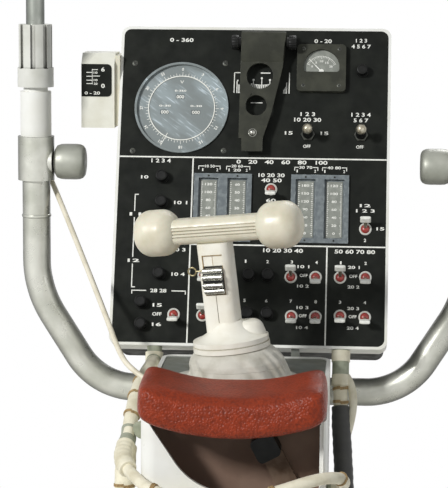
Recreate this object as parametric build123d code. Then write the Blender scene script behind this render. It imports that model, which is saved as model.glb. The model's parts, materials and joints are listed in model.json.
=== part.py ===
from build123d import *
import math
import os

os.makedirs("parts", exist_ok=True)

# Control console station of a planetary rover: a white pedestal with an arm pad,
# a two-way hand control with a T grip, a leaning instrument console, a bent
# handhold tube with two tee fittings, and an antenna mast on the left tee.
# Millimetres. Origin at the middle of the base flange's underside, +Z up,
# the driver sits on the -Y side.

# Base flange and column
BASE_SIDE = 190.0
BASE_THICKNESS = 12.0
BASE_CORNER = 16.0
BASE_HOLE_D = 9.0
BASE_HOLE_PITCH = 150.0
COLUMN_WIDTH = 112.0
COLUMN_DEPTH = 92.0
COLUMN_WALL = 4.0
COLUMN_CORNER = 16.0
GUSSET_THICKNESS = 5.0
GUSSET_REACH = 32.0
GUSSET_HEIGHT = 70.0

# Console: the lower front edge of its panel, over the pedestal's top plate, and how far it leans back
TOP_PLATE_Z = 492.0
FOOT_Y = 40.0
FOOT_RISE = 8.0
FOOT_Z = TOP_PLATE_Z + FOOT_RISE
LEAN = 20.75
PANEL_WIDTH = 280.0
PANEL_HEIGHT = 336.0
PANEL_CORNER = 9.0
RIM = 2.8
PLATE_THICKNESS = 3.0
PLATE_RECESS = 0.4
FRAME_DEPTH = 27.0
FRAME_WALL = 9.0
CASE_DEPTH = 68.0
CASE_INSET = 2.5
CASE_WALL = 3.0
CASE_ROUND = 12.0

# Pedestal housing
HOUSING_WIDTH = 168.0
HOUSING_FRONT_Y = -182.0
HOUSING_BACK_Y = 36.0
HOUSING_BOTTOM_Z = 335.0
HOUSING_WALL = 4.0
HOUSING_CORNER = 14.0
TOP_PLATE_THICKNESS = 3.0
TOP_PLATE_DROP = 1.0
BAY_BACK_Y = -132.0
LINER_THICKNESS = 2.0
LATCH_X = 28.5
LATCH_DROP = 20.5
LATCH_LEAN = 28.0
LATCH_HEAD = 23.0
LATCH_WIDTH = 20.0
LATCH_THICKNESS = 5.0
LATCH_LENGTH = 50.0
LATCH_ROUND = 5.0
MOUTH_RADIUS = 63.0
MOUTH_RISE = 6.5
MOUTH_LEFT_RIM = 5.0
MOUTH_LIP_X = HOUSING_WIDTH / 2 - MOUTH_LEFT_RIM
MOUTH_LIP_RISE = 11.5
MOUTH_RIGHT_RIM = 2.5
MOUTH_RIGHT_X = HOUSING_WIDTH / 2 - MOUTH_RIGHT_RIM
MOUTH_RIGHT_ROUND = 16.0

# Arm pad: a saddle round a fore and aft axis, its top falling away towards the driver
PAD_DROP = 25.5
PAD_LOW_Z = TOP_PLATE_Z - PAD_DROP
LATCH_Z = PAD_LOW_Z - LATCH_DROP
MOUTH_CENTRE_Z = PAD_LOW_Z + MOUTH_RISE
MOUTH_LIP_Z = PAD_LOW_Z + MOUTH_LIP_RISE
PAD_TOP_RADIUS = 215.0
PAD_THICKNESS = 38.0
PAD_AXIS_Z = PAD_LOW_Z + PAD_THICKNESS + PAD_TOP_RADIUS
PAD_LAP = 1.5
PAD_WIDTH = HOUSING_WIDTH + 2 * PAD_LAP
PAD_SLOPE = 7.0
PAD_FRONT_Y = -214.0
PAD_BACK_Y = -135.0
PAD_EDGE = 7.0
TRAY_THICKNESS = 3.0
TRAY_INSET = 5.0
TRAY_WIDTH = HOUSING_WIDTH - 2 * TRAY_INSET
TRAY_FRONT_Y = -184.0
TRAY_BACK_Y = -137.0

# Hand control: pivot, rest lean to the left, boot
PIVOT_Y = -72.0
PIVOT_DROP = 36.0
PIVOT_Z = TOP_PLATE_Z - PIVOT_DROP
REST_LEAN = 7.0
BOOT_REACH = 72.0
BOOT_WALL = 3.0
BOOT_MOUTH_RADIUS = 34.0
BOOT_SKIRT_RADIUS = 54.0
BOOT_SKIRT = 3.0
BOOT_WAIST_RADIUS = 44.0
BOOT_WAIST = 13.0
BOOT_SHOULDER_RADIUS = 41.5
BOOT_SHOULDER = 22.0
PLATE_HOLE_RADIUS = 44.0
GIMBAL_INNER = 24.0
GIMBAL_OUTER = 31.0
GIMBAL_HEIGHT = 12.0
TRUNNION_RADIUS = 4.0
TRUNNION_FIT = 0.3
LUG_GAP = 2.0
LUG_THICKNESS = 6.0
LUG_WIDTH = 18.0

# Stick, measured along its own axis from the pivot
SHAFT_RADIUS = 8.0
SHAFT_BELOW = 10.0
CUP_CLEARANCE = 2.0
COLLAR_RADIUS = 36.5
COLLAR_BOTTOM = 66.5
COLLAR_LIP = 4.5
COLLAR_GROOVE = 1.2
COLLAR_STEP = 0.6
COLLAR_TOP = 76.5
POST_OFFSET = -5.0
POST_FLARE = 5.0
POST_FLARE_GROW = 8.0
POST_FOOT = 93.0
POST_WIDTH = 32.0
POST_DEPTH = 26.0
POST_CORNER = 8.5
SHOULDER_X = 17.0
SHOULDER_Y = 3.0
SHOULDER_RADIUS = 17.5
SHOULDER_TOP_RADIUS = 13.0
SHOULDER_TALL = 16.0
SHOULDER_ROUND = 9.0
GRIP_TURN = 15.0
BAR_HEIGHT = 180.5
BAR_LENGTH = 100.0
BAR_TALL = 24.0
BAR_DEEP = 27.0
BAR_CORNER = 9.0
BAR_RIBS = 6
BAR_RIB_PITCH = 3.0
BAR_RIB_START = 4.4
BAR_RIB_DEPTH = 0.9
BAR_RIB_WIDTH = 1.1
KNOB_OFFSET = 61.0
KNOB_RADIUS = 22.2
KNOB_LENGTH = 42.5
KNOB_CORNER = 16.0
KNOB_SOCKET = 1.0
SEAM_WIDTH = 0.7
SEAM_DEPTH = 0.7
SLOT_WIDTH = 20.0
SLOT_LOW = 119.5
SLOT_HIGH = 158.0
SLOT_DEPTH = 9.0
SHUTTER_DEPTH = 1.3
SLIDER_TALL = 28.0
SLIDER_RIBS = 7
SLIDER_RIB_TURN = 25.0
SLIDER_RIB_RADIUS = 2.3
DRUM_SINK = 2.5
DRUM_TALL = 11.5
DRUM_DEEP = 7.0
RING_RADIUS = 3.8
RING_WIRE = 0.7
RING_OUT = 1.2

# Handhold tube: heights above its low run, and where the tees sit on it
TUBE_RADIUS = 14.3
TUBE_WALL = 2.1
TUBE_BACK = 60.0
TUBE_Y = FOOT_Y + TUBE_BACK
TUBE_X = 222.0
TUBE_DROP = 57.0
TUBE_LOW_Z = FOOT_Z - TUBE_DROP
TUBE_KNEE = 102.0
TUBE_KNEE_Z = TUBE_LOW_Z + TUBE_KNEE
TUBE_KNEE_X = 158.0
TUBE_UPPER_BEND = 110.0
TUBE_LOWER_BEND = 70.0
TUBE_TOP = 229.0
TUBE_TOP_Z = TUBE_LOW_Z + TUBE_TOP
TEE_RADIUS = 18.6
TEE_GRIP = 13.0
TEE_LENGTH = 45.0
TEE_BOTTOM_Z = TUBE_TOP_Z - TEE_GRIP
TEE_TOP_Z = TEE_BOTTOM_Z + TEE_LENGTH
TEE_KNOB_HEIGHT = 19.0
TEE_KNOB_Z = TEE_BOTTOM_Z + TEE_KNOB_HEIGHT
TEE_NECK_RADIUS = 8.0
TEE_NECK_LENGTH = 6.0
TEE_BOSS_RADIUS = 13.0
TEE_KNOB_RADIUS = 18.3
TEE_KNOB_LENGTH = 33.0
TEE_KNOB_ROUND = 6.0
SLEEVE_RADIUS = 15.8
SLEEVE_LENGTH = 46.0
SLEEVE_TOP_Z = TEE_TOP_Z + SLEEVE_LENGTH
SLEEVE_NECK_RADIUS = 12.4
SLEEVE_NECK = 4.0
SLEEVE_FLOOR = 8.0

# Mast and antenna
COLLAR_SKIRT_RADIUS = 18.4
COLLAR_SKIRT_GAP = 0.5
COLLAR_SKIRT_Z = SLEEVE_TOP_Z + SLEEVE_NECK + COLLAR_SKIRT_GAP
COLLAR_SKIRT_LENGTH = 19.5
COLLAR_SKIRT_TOP_Z = COLLAR_SKIRT_Z + COLLAR_SKIRT_LENGTH
COLLAR_FLUTE_RADIUS = 17.0
COLLAR_FLUTE_LENGTH = 44.0
COLLAR_FLUTE_TOP_Z = COLLAR_SKIRT_TOP_Z + COLLAR_FLUTE_LENGTH
FLUTES = 8
FLUTE_WIDTH = 5.0
FLUTE_DEPTH = 2.6
MAST_RADIUS = 9.4
MAST_LENGTH = 280.0
MAST_TOP_Z = SLEEVE_TOP_Z + MAST_LENGTH
FORK_WIDTH = 34.0
FORK_WALL = 5.0
FORK_DEPTH = 22.0
FORK_FLOOR = 6.0
FORK_RISE = 22.0
HEAD_PIVOT_Z = MAST_TOP_Z + FORK_RISE
HEAD_PIN_RADIUS = 5.0
HEAD_PIN_END = 4.0
HEAD_HUB_RADIUS = 9.0
STALK_RADIUS = 8.0
STALK_LENGTH = 28.0
DISH_RADIUS = 62.0
DISH_THICKNESS = 4.0
RADOME_LENGTH = 190.0
RADOME_FOOT_RADIUS = 30.0
RADOME_TIP_RADIUS = 21.0
RADOME_ROUND = 16.0

# Console bracket behind the housing
CHEEK_X = 48.0
CHEEK_THICKNESS = 8.0
CHEEK_BOSS = 24.0
CHEEK_TOP_DROP = 22.0
CHEEK_TALL = 128.0
CHEEK_SEAT = 6.0
WEB_THICKNESS = 5.0

# Pitch indicator on the console's left side, placed from the panel's top edge
PITCH_WIDTH = 34.5
PITCH_DEPTH = 46.0
PITCH_TALL = 77.0
PITCH_FROM_TOP = 29.1
PITCH_PROUD = 14.7
PITCH_BEVEL = 11.0
PITCH_LEAF = 5.0
PITCH_HINGE_RADIUS = 3.5
PITCH_KNUCKLE = 19.6
PITCH_PIN_RADIUS = 1.6
PITCH_END = 6.0

# Small clearances
SEAT = 0.05
MOVE = 0.4

lean = math.radians(LEAN)
pitch_reach = PANEL_HEIGHT - PITCH_FROM_TOP
PITCH_HIGH_Z = FOOT_Z + pitch_reach * math.cos(lean)
PITCH_LOW_Z = PITCH_HIGH_Z - PITCH_TALL
PITCH_FRONT_Y = FOOT_Y + pitch_reach * math.sin(lean) - PITCH_PROUD
panel_plane = Plane(origin=(0, FOOT_Y, FOOT_Z), x_dir=(1, 0, 0), z_dir=(0, -math.cos(lean), math.sin(lean)))
pivot = Location((0, PIVOT_Y, PIVOT_Z), (0, -REST_LEAN, 0))
grip = pivot * Location((0, 0, 0), (0, 0, -GRIP_TURN))
post = grip * Location((POST_OFFSET, 0, 0))
up_from_base = (Align.CENTER, Align.CENTER, Align.MIN)


def save(name, *solids):
    """Write one node: all its solids in one STEP file."""
    flat = [s for item in solids for s in item.solids()]
    export_step(flat[0] if len(flat) == 1 else Compound(children=flat), f"parts/{name}.step")


def rod(radius, start, end):
    """A round bar between two points."""
    a = Vector(*start)
    b = Vector(*end)
    plane = Plane(origin=a, z_dir=b - a)
    return extrude(plane * Circle(radius), (b - a).length)


def block(x, y, z):
    """A box from its low and high limits along each axis."""
    size = (x[1] - x[0], y[1] - y[0], z[1] - z[0])
    return Pos((x[0] + x[1]) / 2, (y[0] + y[1]) / 2, (z[0] + z[1]) / 2) * Box(*size)


def on_panel(u, v, out, shape):
    """Place a shape on the panel: u from its left edge, v down from its top edge, out towards the driver."""
    return panel_plane.location * Pos(u - PANEL_WIDTH / 2, PANEL_HEIGHT - v, out) * shape


# Base and column


def base_flange():
    plate = extrude(RectangleRounded(BASE_SIDE, BASE_SIDE, BASE_CORNER), BASE_THICKNESS)
    holes = GridLocations(BASE_HOLE_PITCH, BASE_HOLE_PITCH, 2, 2)
    for place in holes:
        plate -= place * Pos(0, 0, BASE_THICKNESS / 2) * Cylinder(BASE_HOLE_D / 2, BASE_THICKNESS * 2)
    return plate


def pedestal_column():
    outer = RectangleRounded(COLUMN_WIDTH, COLUMN_DEPTH, COLUMN_CORNER)
    width, depth = COLUMN_WIDTH - 2 * COLUMN_WALL, COLUMN_DEPTH - 2 * COLUMN_WALL
    inner = RectangleRounded(width, depth, COLUMN_CORNER - COLUMN_WALL)
    return Pos(0, 0, BASE_THICKNESS) * extrude(outer - inner, HOUSING_BOTTOM_Z - BASE_THICKNESS)


def column_gussets():
    """A triangular web on each side of the column, standing on the base flange."""
    near = COLUMN_WIDTH / 2 + SEAT
    low = BASE_THICKNESS + SEAT
    corners = Polyline((near, low), (near + GUSSET_REACH, low), (near, low + GUSSET_HEIGHT), close=True)
    gusset = Pos(0, GUSSET_THICKNESS / 2, 0) * extrude(Plane.XZ * make_face(corners), GUSSET_THICKNESS)
    return [gusset, mirror(gusset, Plane.YZ)]


# Pedestal housing, its top plate and liner


def mouth_outline():
    """The opening under the pad: a slope on the left, a round bottom and a straight right side."""
    lip = math.atan2(MOUTH_LIP_X, MOUTH_LIP_Z - MOUTH_CENTRE_Z)
    reach = math.hypot(MOUTH_LIP_X, MOUTH_LIP_Z - MOUTH_CENTRE_Z)
    turn = lip + math.acos(MOUTH_RADIUS / reach)
    touch = (-MOUTH_RADIUS * math.sin(turn), MOUTH_CENTRE_Z + MOUTH_RADIUS * math.cos(turn))
    half = (turn + math.pi) / 2
    middle = (-MOUTH_RADIUS * math.sin(half), MOUTH_CENTRE_Z + MOUTH_RADIUS * math.cos(half))
    high = PAD_AXIS_Z
    low = MOUTH_CENTRE_Z - MOUTH_RADIUS
    bowl = ThreePointArc(touch, middle, (0, low))
    right = FilletPolyline((0, low), (MOUTH_RIGHT_X, low), (MOUTH_RIGHT_X, high), radius=MOUTH_RIGHT_ROUND)
    left = Polyline((MOUTH_RIGHT_X, high), (-MOUTH_LIP_X, high), (-MOUTH_LIP_X, MOUTH_LIP_Z), touch)
    return make_face([bowl, right, left])


def pad_band(inner, outer, width, front, back):
    """A fore and aft saddle strip between two radii round the pad's axis."""
    ring = Plane.XZ * (Pos(0, PAD_AXIS_Z) * (Circle(outer) - Circle(inner)))
    strip = Pos(0, back, 0) * extrude(ring, back - front)
    low, high = PAD_AXIS_Z - outer - 1, PAD_AXIS_Z - inner / 2
    return strip & block((-width / 2, width / 2), (front, back), (low, high))


def pedestal_housing():
    depth = HOUSING_BACK_Y - HOUSING_FRONT_Y
    height = TOP_PLATE_Z - HOUSING_BOTTOM_Z
    middle = (HOUSING_BACK_Y + HOUSING_FRONT_Y) / 2
    outer_flat = RectangleRounded(HOUSING_WIDTH, depth, HOUSING_CORNER)
    outer = Pos(0, middle, HOUSING_BOTTOM_Z) * extrude(outer_flat, height)
    walls = 2 * HOUSING_WALL
    inner_flat = RectangleRounded(HOUSING_WIDTH - walls, depth - walls, HOUSING_CORNER - HOUSING_WALL)
    inner = Pos(0, middle, HOUSING_BOTTOM_Z + HOUSING_WALL) * extrude(inner_flat, height)
    shell = outer - inner
    wall = block((-HOUSING_WIDTH / 2 + 1, HOUSING_WIDTH / 2 - 1), (BAY_BACK_Y, BAY_BACK_Y + HOUSING_WALL),
                 (HOUSING_BOTTOM_Z + 1, TOP_PLATE_Z))
    shell += wall
    seat_radius = PAD_TOP_RADIUS + PAD_THICKNESS + TRAY_THICKNESS + 2 * SEAT
    bay = Pos(0, BAY_BACK_Y, PAD_AXIS_Z) * (Rot(90, 0, 0) * extrude(Circle(seat_radius), 200))
    shell -= bay
    shell -= Pos(0, HOUSING_FRONT_Y + walls, 0) * extrude(Plane.XZ * mouth_outline(), 2 * walls)
    return shell


def top_plate():
    high = TOP_PLATE_Z - TOP_PLATE_DROP
    half = HOUSING_WIDTH / 2 - HOUSING_WALL - SEAT
    plate = block((-half, half), (BAY_BACK_Y + HOUSING_WALL + SEAT, HOUSING_BACK_Y - HOUSING_WALL - SEAT),
                  (high - TOP_PLATE_THICKNESS, high))
    rear = plate.edges().filter_by(Axis.Z).sort_by(Axis.Y)[-2:]
    plate = fillet(rear, HOUSING_CORNER - HOUSING_WALL)
    return plate - Pos(0, PIVOT_Y, high) * Cylinder(PLATE_HOLE_RADIUS, 4 * TOP_PLATE_THICKNESS)


def housing_liner():
    half = HOUSING_WIDTH / 2 - HOUSING_WALL - 1
    return block((-half, half), (BAY_BACK_Y - LINER_THICKNESS - SEAT, BAY_BACK_Y - SEAT),
                 (HOUSING_BOTTOM_Z + HOUSING_WALL + 1, MOUTH_LIP_Z - 14))


def latch_piece(along, width, deep, tall):
    """A piece of the latch lever, placed along the leaning lever from its head's centre."""
    rear = BAY_BACK_Y - LINER_THICKNESS - 2 * SEAT
    lean_about = Pos(LATCH_X, rear - deep / 2, LATCH_Z) * Rot(0, -LATCH_LEAN, 0)
    return lean_about * Pos(0, 0, -along) * Box(width, deep, tall)


def latch_block():
    head = latch_piece(0, LATCH_HEAD, LATCH_HEAD, LATCH_HEAD)
    return fillet(head.edges().filter_by(Axis.Y), LATCH_ROUND)


def latch_strap():
    return latch_piece((LATCH_HEAD + LATCH_LENGTH) / 2 + SEAT, LATCH_WIDTH, LATCH_THICKNESS, LATCH_LENGTH)


def tray():
    inner = PAD_TOP_RADIUS + PAD_THICKNESS + SEAT
    return pad_band(inner, inner + TRAY_THICKNESS, TRAY_WIDTH, TRAY_FRONT_Y, TRAY_BACK_Y)


def arm_pad():
    """A thick saddle whose hollow top is cut by a cylinder that dips towards the driver."""
    outer = PAD_TOP_RADIUS + PAD_THICKNESS
    pad = pad_band(PAD_TOP_RADIUS - PAD_THICKNESS, outer, PAD_WIDTH, PAD_FRONT_Y, PAD_BACK_Y)
    middle = Pos(0, (PAD_FRONT_Y + PAD_BACK_Y) / 2, PAD_AXIS_Z - PAD_TOP_RADIUS)
    hollow = Pos(0, 0, PAD_TOP_RADIUS) * Rot(90, 0, 0) * Cylinder(PAD_TOP_RADIUS, 2 * PAD_WIDTH)
    pad -= middle * Rot(PAD_SLOPE, 0, 0) * hollow
    return fillet(pad.edges(), PAD_EDGE)


# Console


def console_frame():
    depth = FRAME_DEPTH
    ring = Pos(0, 0, -depth) * extrude(RectangleRounded(PANEL_WIDTH, PANEL_HEIGHT, PANEL_CORNER), depth)
    pocket_depth = PLATE_THICKNESS + PLATE_RECESS
    pocket = RectangleRounded(PANEL_WIDTH - 2 * RIM, PANEL_HEIGHT - 2 * RIM, PANEL_CORNER - RIM / 2)
    ring -= Pos(0, 0, -pocket_depth) * extrude(pocket, pocket_depth * 2)
    core = RectangleRounded(PANEL_WIDTH - 2 * FRAME_WALL, PANEL_HEIGHT - 2 * FRAME_WALL, PANEL_CORNER - 2)
    ring -= Pos(0, 0, -depth - 1) * extrude(core, depth)
    return on_panel(PANEL_WIDTH / 2, PANEL_HEIGHT / 2, 0, ring)


def console_case():
    width = PANEL_WIDTH - 2 * CASE_INSET
    height = PANEL_HEIGHT - 2 * CASE_INSET
    body = extrude(RectangleRounded(width, height, PANEL_CORNER), CASE_DEPTH)
    body = fillet(body.faces().sort_by(Axis.Z)[0].edges(), CASE_ROUND)
    walls = 2 * CASE_WALL
    hollow = extrude(RectangleRounded(width - walls, height - walls, PANEL_CORNER - CASE_WALL), CASE_DEPTH)
    hollow = fillet(hollow.faces().sort_by(Axis.Z)[0].edges(), CASE_ROUND - CASE_WALL)
    body -= Pos(0, 0, CASE_WALL) * hollow
    rounded = on_panel(PANEL_WIDTH / 2, PANEL_HEIGHT / 2, -FRAME_DEPTH - CASE_DEPTH - SEAT, body)
    return rounded


# Panel cut-outs, with u from the left edge and v down from the top edge
HEADING = (65.0, 87.3)
HEADING_RADIUS = 48.5
HEADING_BEZEL = 2.2
BODY_INSET = 2.0
SPEED = (208.6, 44.2)
SPEED_SIDE = 50.4
METER_INSET = 4.0
METER_BODY = 13.0
EDGE_METERS_U = (81.0, 110.5, 180.2, 209.6)
EDGE_METER_WIDTH = 29.4
EDGE_METER_V = (157.2, 228.2)
EDGE_INSET = 3.0


def panel_plate():
    clear = RIM + SEAT
    outline = RectangleRounded(PANEL_WIDTH - 2 * clear, PANEL_HEIGHT - 2 * clear, PANEL_CORNER - RIM / 2)
    plate = Pos(0, 0, -PLATE_THICKNESS - PLATE_RECESS + SEAT) * extrude(outline, PLATE_THICKNESS - SEAT)
    plate = on_panel(PANEL_WIDTH / 2, PANEL_HEIGHT / 2, 0, plate)
    through = 8 * PLATE_THICKNESS
    plate -= on_panel(*HEADING, 0, Cylinder(HEADING_RADIUS - BODY_INSET, through))
    plate -= on_panel(*SPEED, 0, Box(SPEED_SIDE - 2 * METER_INSET, SPEED_SIDE - 2 * METER_INSET, through))
    middle_v = sum(EDGE_METER_V) / 2
    tall = EDGE_METER_V[1] - EDGE_METER_V[0] - 2 * EDGE_INSET
    hole = Box(EDGE_METER_WIDTH - 2 * EDGE_INSET, tall, through)
    for u in EDGE_METERS_U:
        plate -= on_panel(u + EDGE_METER_WIDTH / 2, middle_v, 0, hole)
    return plate


FACE = -PLATE_RECESS


DIAL_DROP = 1.5
DIAL_BODY = 14.0
DIAL_RING_RADIUS = 33.8
DIAL_RING_WIDTH = 0.8
READOUT = (9.0, 5.0)
READOUTS = ((63.3, 75.2), (47.7, 91.7), (80.0, 91.7))


def heading_indicator():
    """A round dial in a thin bezel, with a raised inner ring and three readout windows."""
    u, v = HEADING
    bezel = Cylinder(HEADING_RADIUS, HEADING_BEZEL, align=up_from_base)
    body = Pos(0, 0, -DIAL_BODY) * Cylinder(HEADING_RADIUS - BODY_INSET - SEAT, DIAL_BODY, align=up_from_base)
    dial = Pos(0, 0, -DIAL_DROP) * Cylinder(HEADING_RADIUS - HEADING_BEZEL, DIAL_BODY, align=up_from_base)
    ring = Circle(DIAL_RING_RADIUS + DIAL_RING_WIDTH) - Circle(DIAL_RING_RADIUS)
    face = bezel + body - dial + Pos(0, 0, -DIAL_DROP) * extrude(ring, DIAL_RING_WIDTH)
    for window_u, window_v in READOUTS:
        face -= Pos(window_u - u, v - window_v, -DIAL_DROP) * Box(*READOUT, 2 * DIAL_RING_WIDTH)
    return on_panel(u, v, FACE + SEAT, face)


SPEED_BEZEL = 6.0
SPEED_CORNER = 5.0
SPEED_ROUND = 2.0
SPEED_ARC = 18.4
SPEED_ARC_RISE = 2.0
SPEED_FACE = 3.0


def speed_meter():
    """A square bezel with a half-round window whose flat side is low."""
    bezel = extrude(RectangleRounded(SPEED_SIDE, SPEED_SIDE, SPEED_CORNER), SPEED_BEZEL)
    bezel = fillet(bezel.faces().sort_by(Axis.Z)[-1].edges(), SPEED_ROUND)
    half = Circle(SPEED_ARC) & (Pos(0, SPEED_ARC) * Rectangle(3 * SPEED_ARC, 2 * SPEED_ARC))
    window = Pos(0, SPEED_ARC_RISE, SPEED_FACE) * extrude(half, SPEED_BEZEL)
    side = SPEED_SIDE - 2 * METER_INSET - 4 * SEAT
    stem = Pos(0, 0, -METER_BODY) * Box(side, side, METER_BODY, align=up_from_base)
    return on_panel(*SPEED, FACE + SEAT, bezel + stem - window)


EDGE_FRAME = 2.4
EDGE_WINDOW = (20.4, 62.0)
EDGE_FACE_DROP = 2.0
EDGE_LAP = 0.1


def edge_meters():
    """Two pairs of tall meters, each a frame round a recessed scale."""
    middle_v = sum(EDGE_METER_V) / 2
    tall = EDGE_METER_V[1] - EDGE_METER_V[0]
    inset = 2 * EDGE_INSET + 4 * SEAT
    pairs = []
    for first in (0, 2):
        pair = None
        for u in EDGE_METERS_U[first:first + 2]:
            frame = Box(EDGE_METER_WIDTH + EDGE_LAP, tall, EDGE_FRAME, align=up_from_base)
            stem = Box(EDGE_METER_WIDTH - inset, tall - inset, METER_BODY, align=up_from_base)
            stem = Pos(0, 0, -METER_BODY) * stem
            window = Pos(0, 0, -EDGE_FACE_DROP) * Box(*EDGE_WINDOW, METER_BODY, align=up_from_base)
            meter = on_panel(u + EDGE_METER_WIDTH / 2, middle_v, FACE + SEAT, frame + stem - window)
            pair = meter if pair is None else pair + meter
        pairs.append(pair)
    return pairs


# Circuit breakers: u, v, cap radius
BREAKERS = (
    (47.8, 161.5, 6.0), (48.0, 188.0, 6.0), (48.0, 212.7, 6.0), (48.0, 237.3, 6.0), (48.3, 262.5, 6.0),
    (31.1, 292.2, 6.0), (31.8, 314.9, 6.0), (250.4, 46.4, 5.6),
    (139.3, 262.6, 5.0), (158.7, 262.6, 5.0), (139.3, 302.0, 5.0), (158.7, 302.0, 5.0),
)
BREAKER_TALL = 10.0
BREAKER_COLLAR = 0.8
BREAKER_COLLAR_TALL = 2.0
BREAKER_BEVEL = 1.0


def breakers():
    caps = []
    for u, v, radius in BREAKERS:
        collar = Cylinder(radius + BREAKER_COLLAR, BREAKER_COLLAR_TALL, align=up_from_base)
        cap = Cylinder(radius, BREAKER_TALL, align=up_from_base)
        cap = chamfer(cap.faces().sort_by(Axis.Z)[-1].edges(), BREAKER_BEVEL)
        caps.append(on_panel(u, v, FACE + SEAT, collar + cap))
    return caps


# Toggle switches: u, v, +1 lever up, -1 down
TOGGLES = (
    (64.8, 304.2, -1), (91.0, 263.0, 1), (90.8, 304.6, 1), (159.8, 172.7, -1), (256.4, 212.7, 1),
    (182.0, 263.6, 1), (207.1, 263.3, -1), (183.5, 303.9, -1), (207.7, 303.9, -1),
    (231.8, 263.3, 1), (257.2, 262.6, -1), (232.4, 302.5, -1), (257.2, 303.4, -1),
)
TOGGLE_RING = 6.2
TOGGLE_RING_TALL = 3.0
TOGGLE_PIVOT = 2.0
TOGGLE_STEM_RADIUS = 2.0
TOGGLE_LEVER = 17.0
TOGGLE_TILT = 26.0
TAB_WIDTH = 10.5
TAB_THICKNESS = 3.4
TAB_TALL = 6.5


def toggles():
    switches = []
    for u, v, side in TOGGLES:
        ring = Cylinder(TOGGLE_RING, TOGGLE_RING_TALL, align=up_from_base)
        swing = Pos(0, 0, TOGGLE_PIVOT) * Rot(-side * TOGGLE_TILT, 0, 0)
        lever = swing * Cylinder(TOGGLE_STEM_RADIUS, TOGGLE_LEVER, align=up_from_base)
        tab = swing * Pos(0, 0, TOGGLE_LEVER) * Box(TAB_WIDTH, TAB_THICKNESS, TAB_TALL)
        switches.append(on_panel(u, v, FACE + SEAT, ring + lever + tab))
    return switches


# Ball toggles: u, v
BALL_TOGGLES = ((196.0, 114.0), (250.4, 114.0))
BALL_RADIUS = 5.2
BALL_REACH = 22.0
BALL_STEM_RADIUS = 2.6
BALL_NUT_RADIUS = 7.0
BALL_NUT_TALL = 2.5
BALL_SKIRT_TALL = 9.0


def ball_toggles():
    switches = []
    for u, v in BALL_TOGGLES:
        nut = Cylinder(BALL_NUT_RADIUS, BALL_NUT_TALL, align=up_from_base)
        skirt = Cone(BALL_NUT_RADIUS - 1.4, BALL_STEM_RADIUS + 0.8, BALL_SKIRT_TALL, align=up_from_base)
        lever = Cylinder(BALL_STEM_RADIUS, BALL_REACH, align=up_from_base)
        ball = Pos(0, 0, BALL_REACH) * Sphere(BALL_RADIUS)
        switches.append(on_panel(u, v, FACE + SEAT, nut + skirt + lever + ball))
    return switches


# Shadow flap: hinge line and plate outline in u and v
FLAP_HINGE_V = 20.0
FLAP_HINGE_OUT = 16.0
FLAP_OUT = 9.0
FLAP_THICKNESS = 3.0
FLAP_OUTLINE = ((125.6, 10.0), (172.8, 10.0), (168.8, 46.6), (158.0, 97.0), (150.2, 122.0), (150.2, 135.0),
                (128.6, 135.0), (128.6, 122.0), (125.6, 122.0))
FLAP_HOLES = ((145.6, 52.0, 13.2), (142.6, 84.4, 10.5))
FLAP_PIN = (139.8, 116.4, 3.6)
FLAP_BARREL = 4.0
FLAP_PIVOT_RADIUS = 2.4
FLAP_SIDE_GAP = 0.6
FLAP_WEB = 6.0
EAR_WIDTH = 10.0
EAR_RADIUS = 6.4
EAR_FOOT = 9.0


def flap_local(u, v):
    return (u - PANEL_WIDTH / 2, PANEL_HEIGHT - v)


def shadow_flap():
    """A tapered plate with two round windows, carried on a barrel at its top."""
    outline = Polyline(*[flap_local(u, v) for u, v in FLAP_OUTLINE], close=True)
    plate = extrude(make_face(outline), FLAP_THICKNESS)
    for u, v, radius in FLAP_HOLES:
        plate -= Pos(*flap_local(u, v), 0) * Cylinder(radius, 4 * FLAP_THICKNESS)
    plate = Pos(0, 0, FLAP_OUT) * plate
    pin_u, pin_v, pin_radius = FLAP_PIN
    plate += Pos(*flap_local(pin_u, pin_v), FLAP_OUT + FLAP_THICKNESS) * Sphere(pin_radius)
    left = FLAP_OUTLINE[0][0] + FLAP_SIDE_GAP
    right = FLAP_OUTLINE[1][0] - FLAP_SIDE_GAP
    barrel = Rot(0, 90, 0) * Cylinder(FLAP_BARREL, right - left)
    pin = Rot(0, 90, 0) * Cylinder(FLAP_PIVOT_RADIUS, right - left + 2 * EAR_WIDTH)
    hinge = Pos(*flap_local((left + right) / 2, FLAP_HINGE_V), FLAP_HINGE_OUT)
    rise = FLAP_HINGE_OUT - FLAP_OUT
    web = hinge * Pos(0, 0, -rise / 2) * Box(right - left, FLAP_WEB, rise)
    return panel_plane.location * (plate + hinge * (barrel + pin) + web)


def flap_ears():
    """A round-headed pillar at each end of the flap's hinge pin."""
    ears = []
    rise = FLAP_HINGE_OUT - FACE - SEAT
    for u in (FLAP_OUTLINE[0][0] - EAR_WIDTH / 2, FLAP_OUTLINE[1][0] + EAR_WIDTH / 2):
        ear = Box(EAR_WIDTH, EAR_FOOT, rise, align=up_from_base)
        ear += Pos(0, 0, rise) * Rot(0, 90, 0) * Cylinder(EAR_RADIUS, EAR_WIDTH)
        ear -= Pos(0, 0, rise) * Rot(0, 90, 0) * Cylinder(FLAP_PIVOT_RADIUS + MOVE / 2, 2 * EAR_WIDTH)
        ears.append(on_panel(u, FLAP_HINGE_V, FACE + SEAT, ear))
    return ears


# Console bracket and handhold


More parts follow.
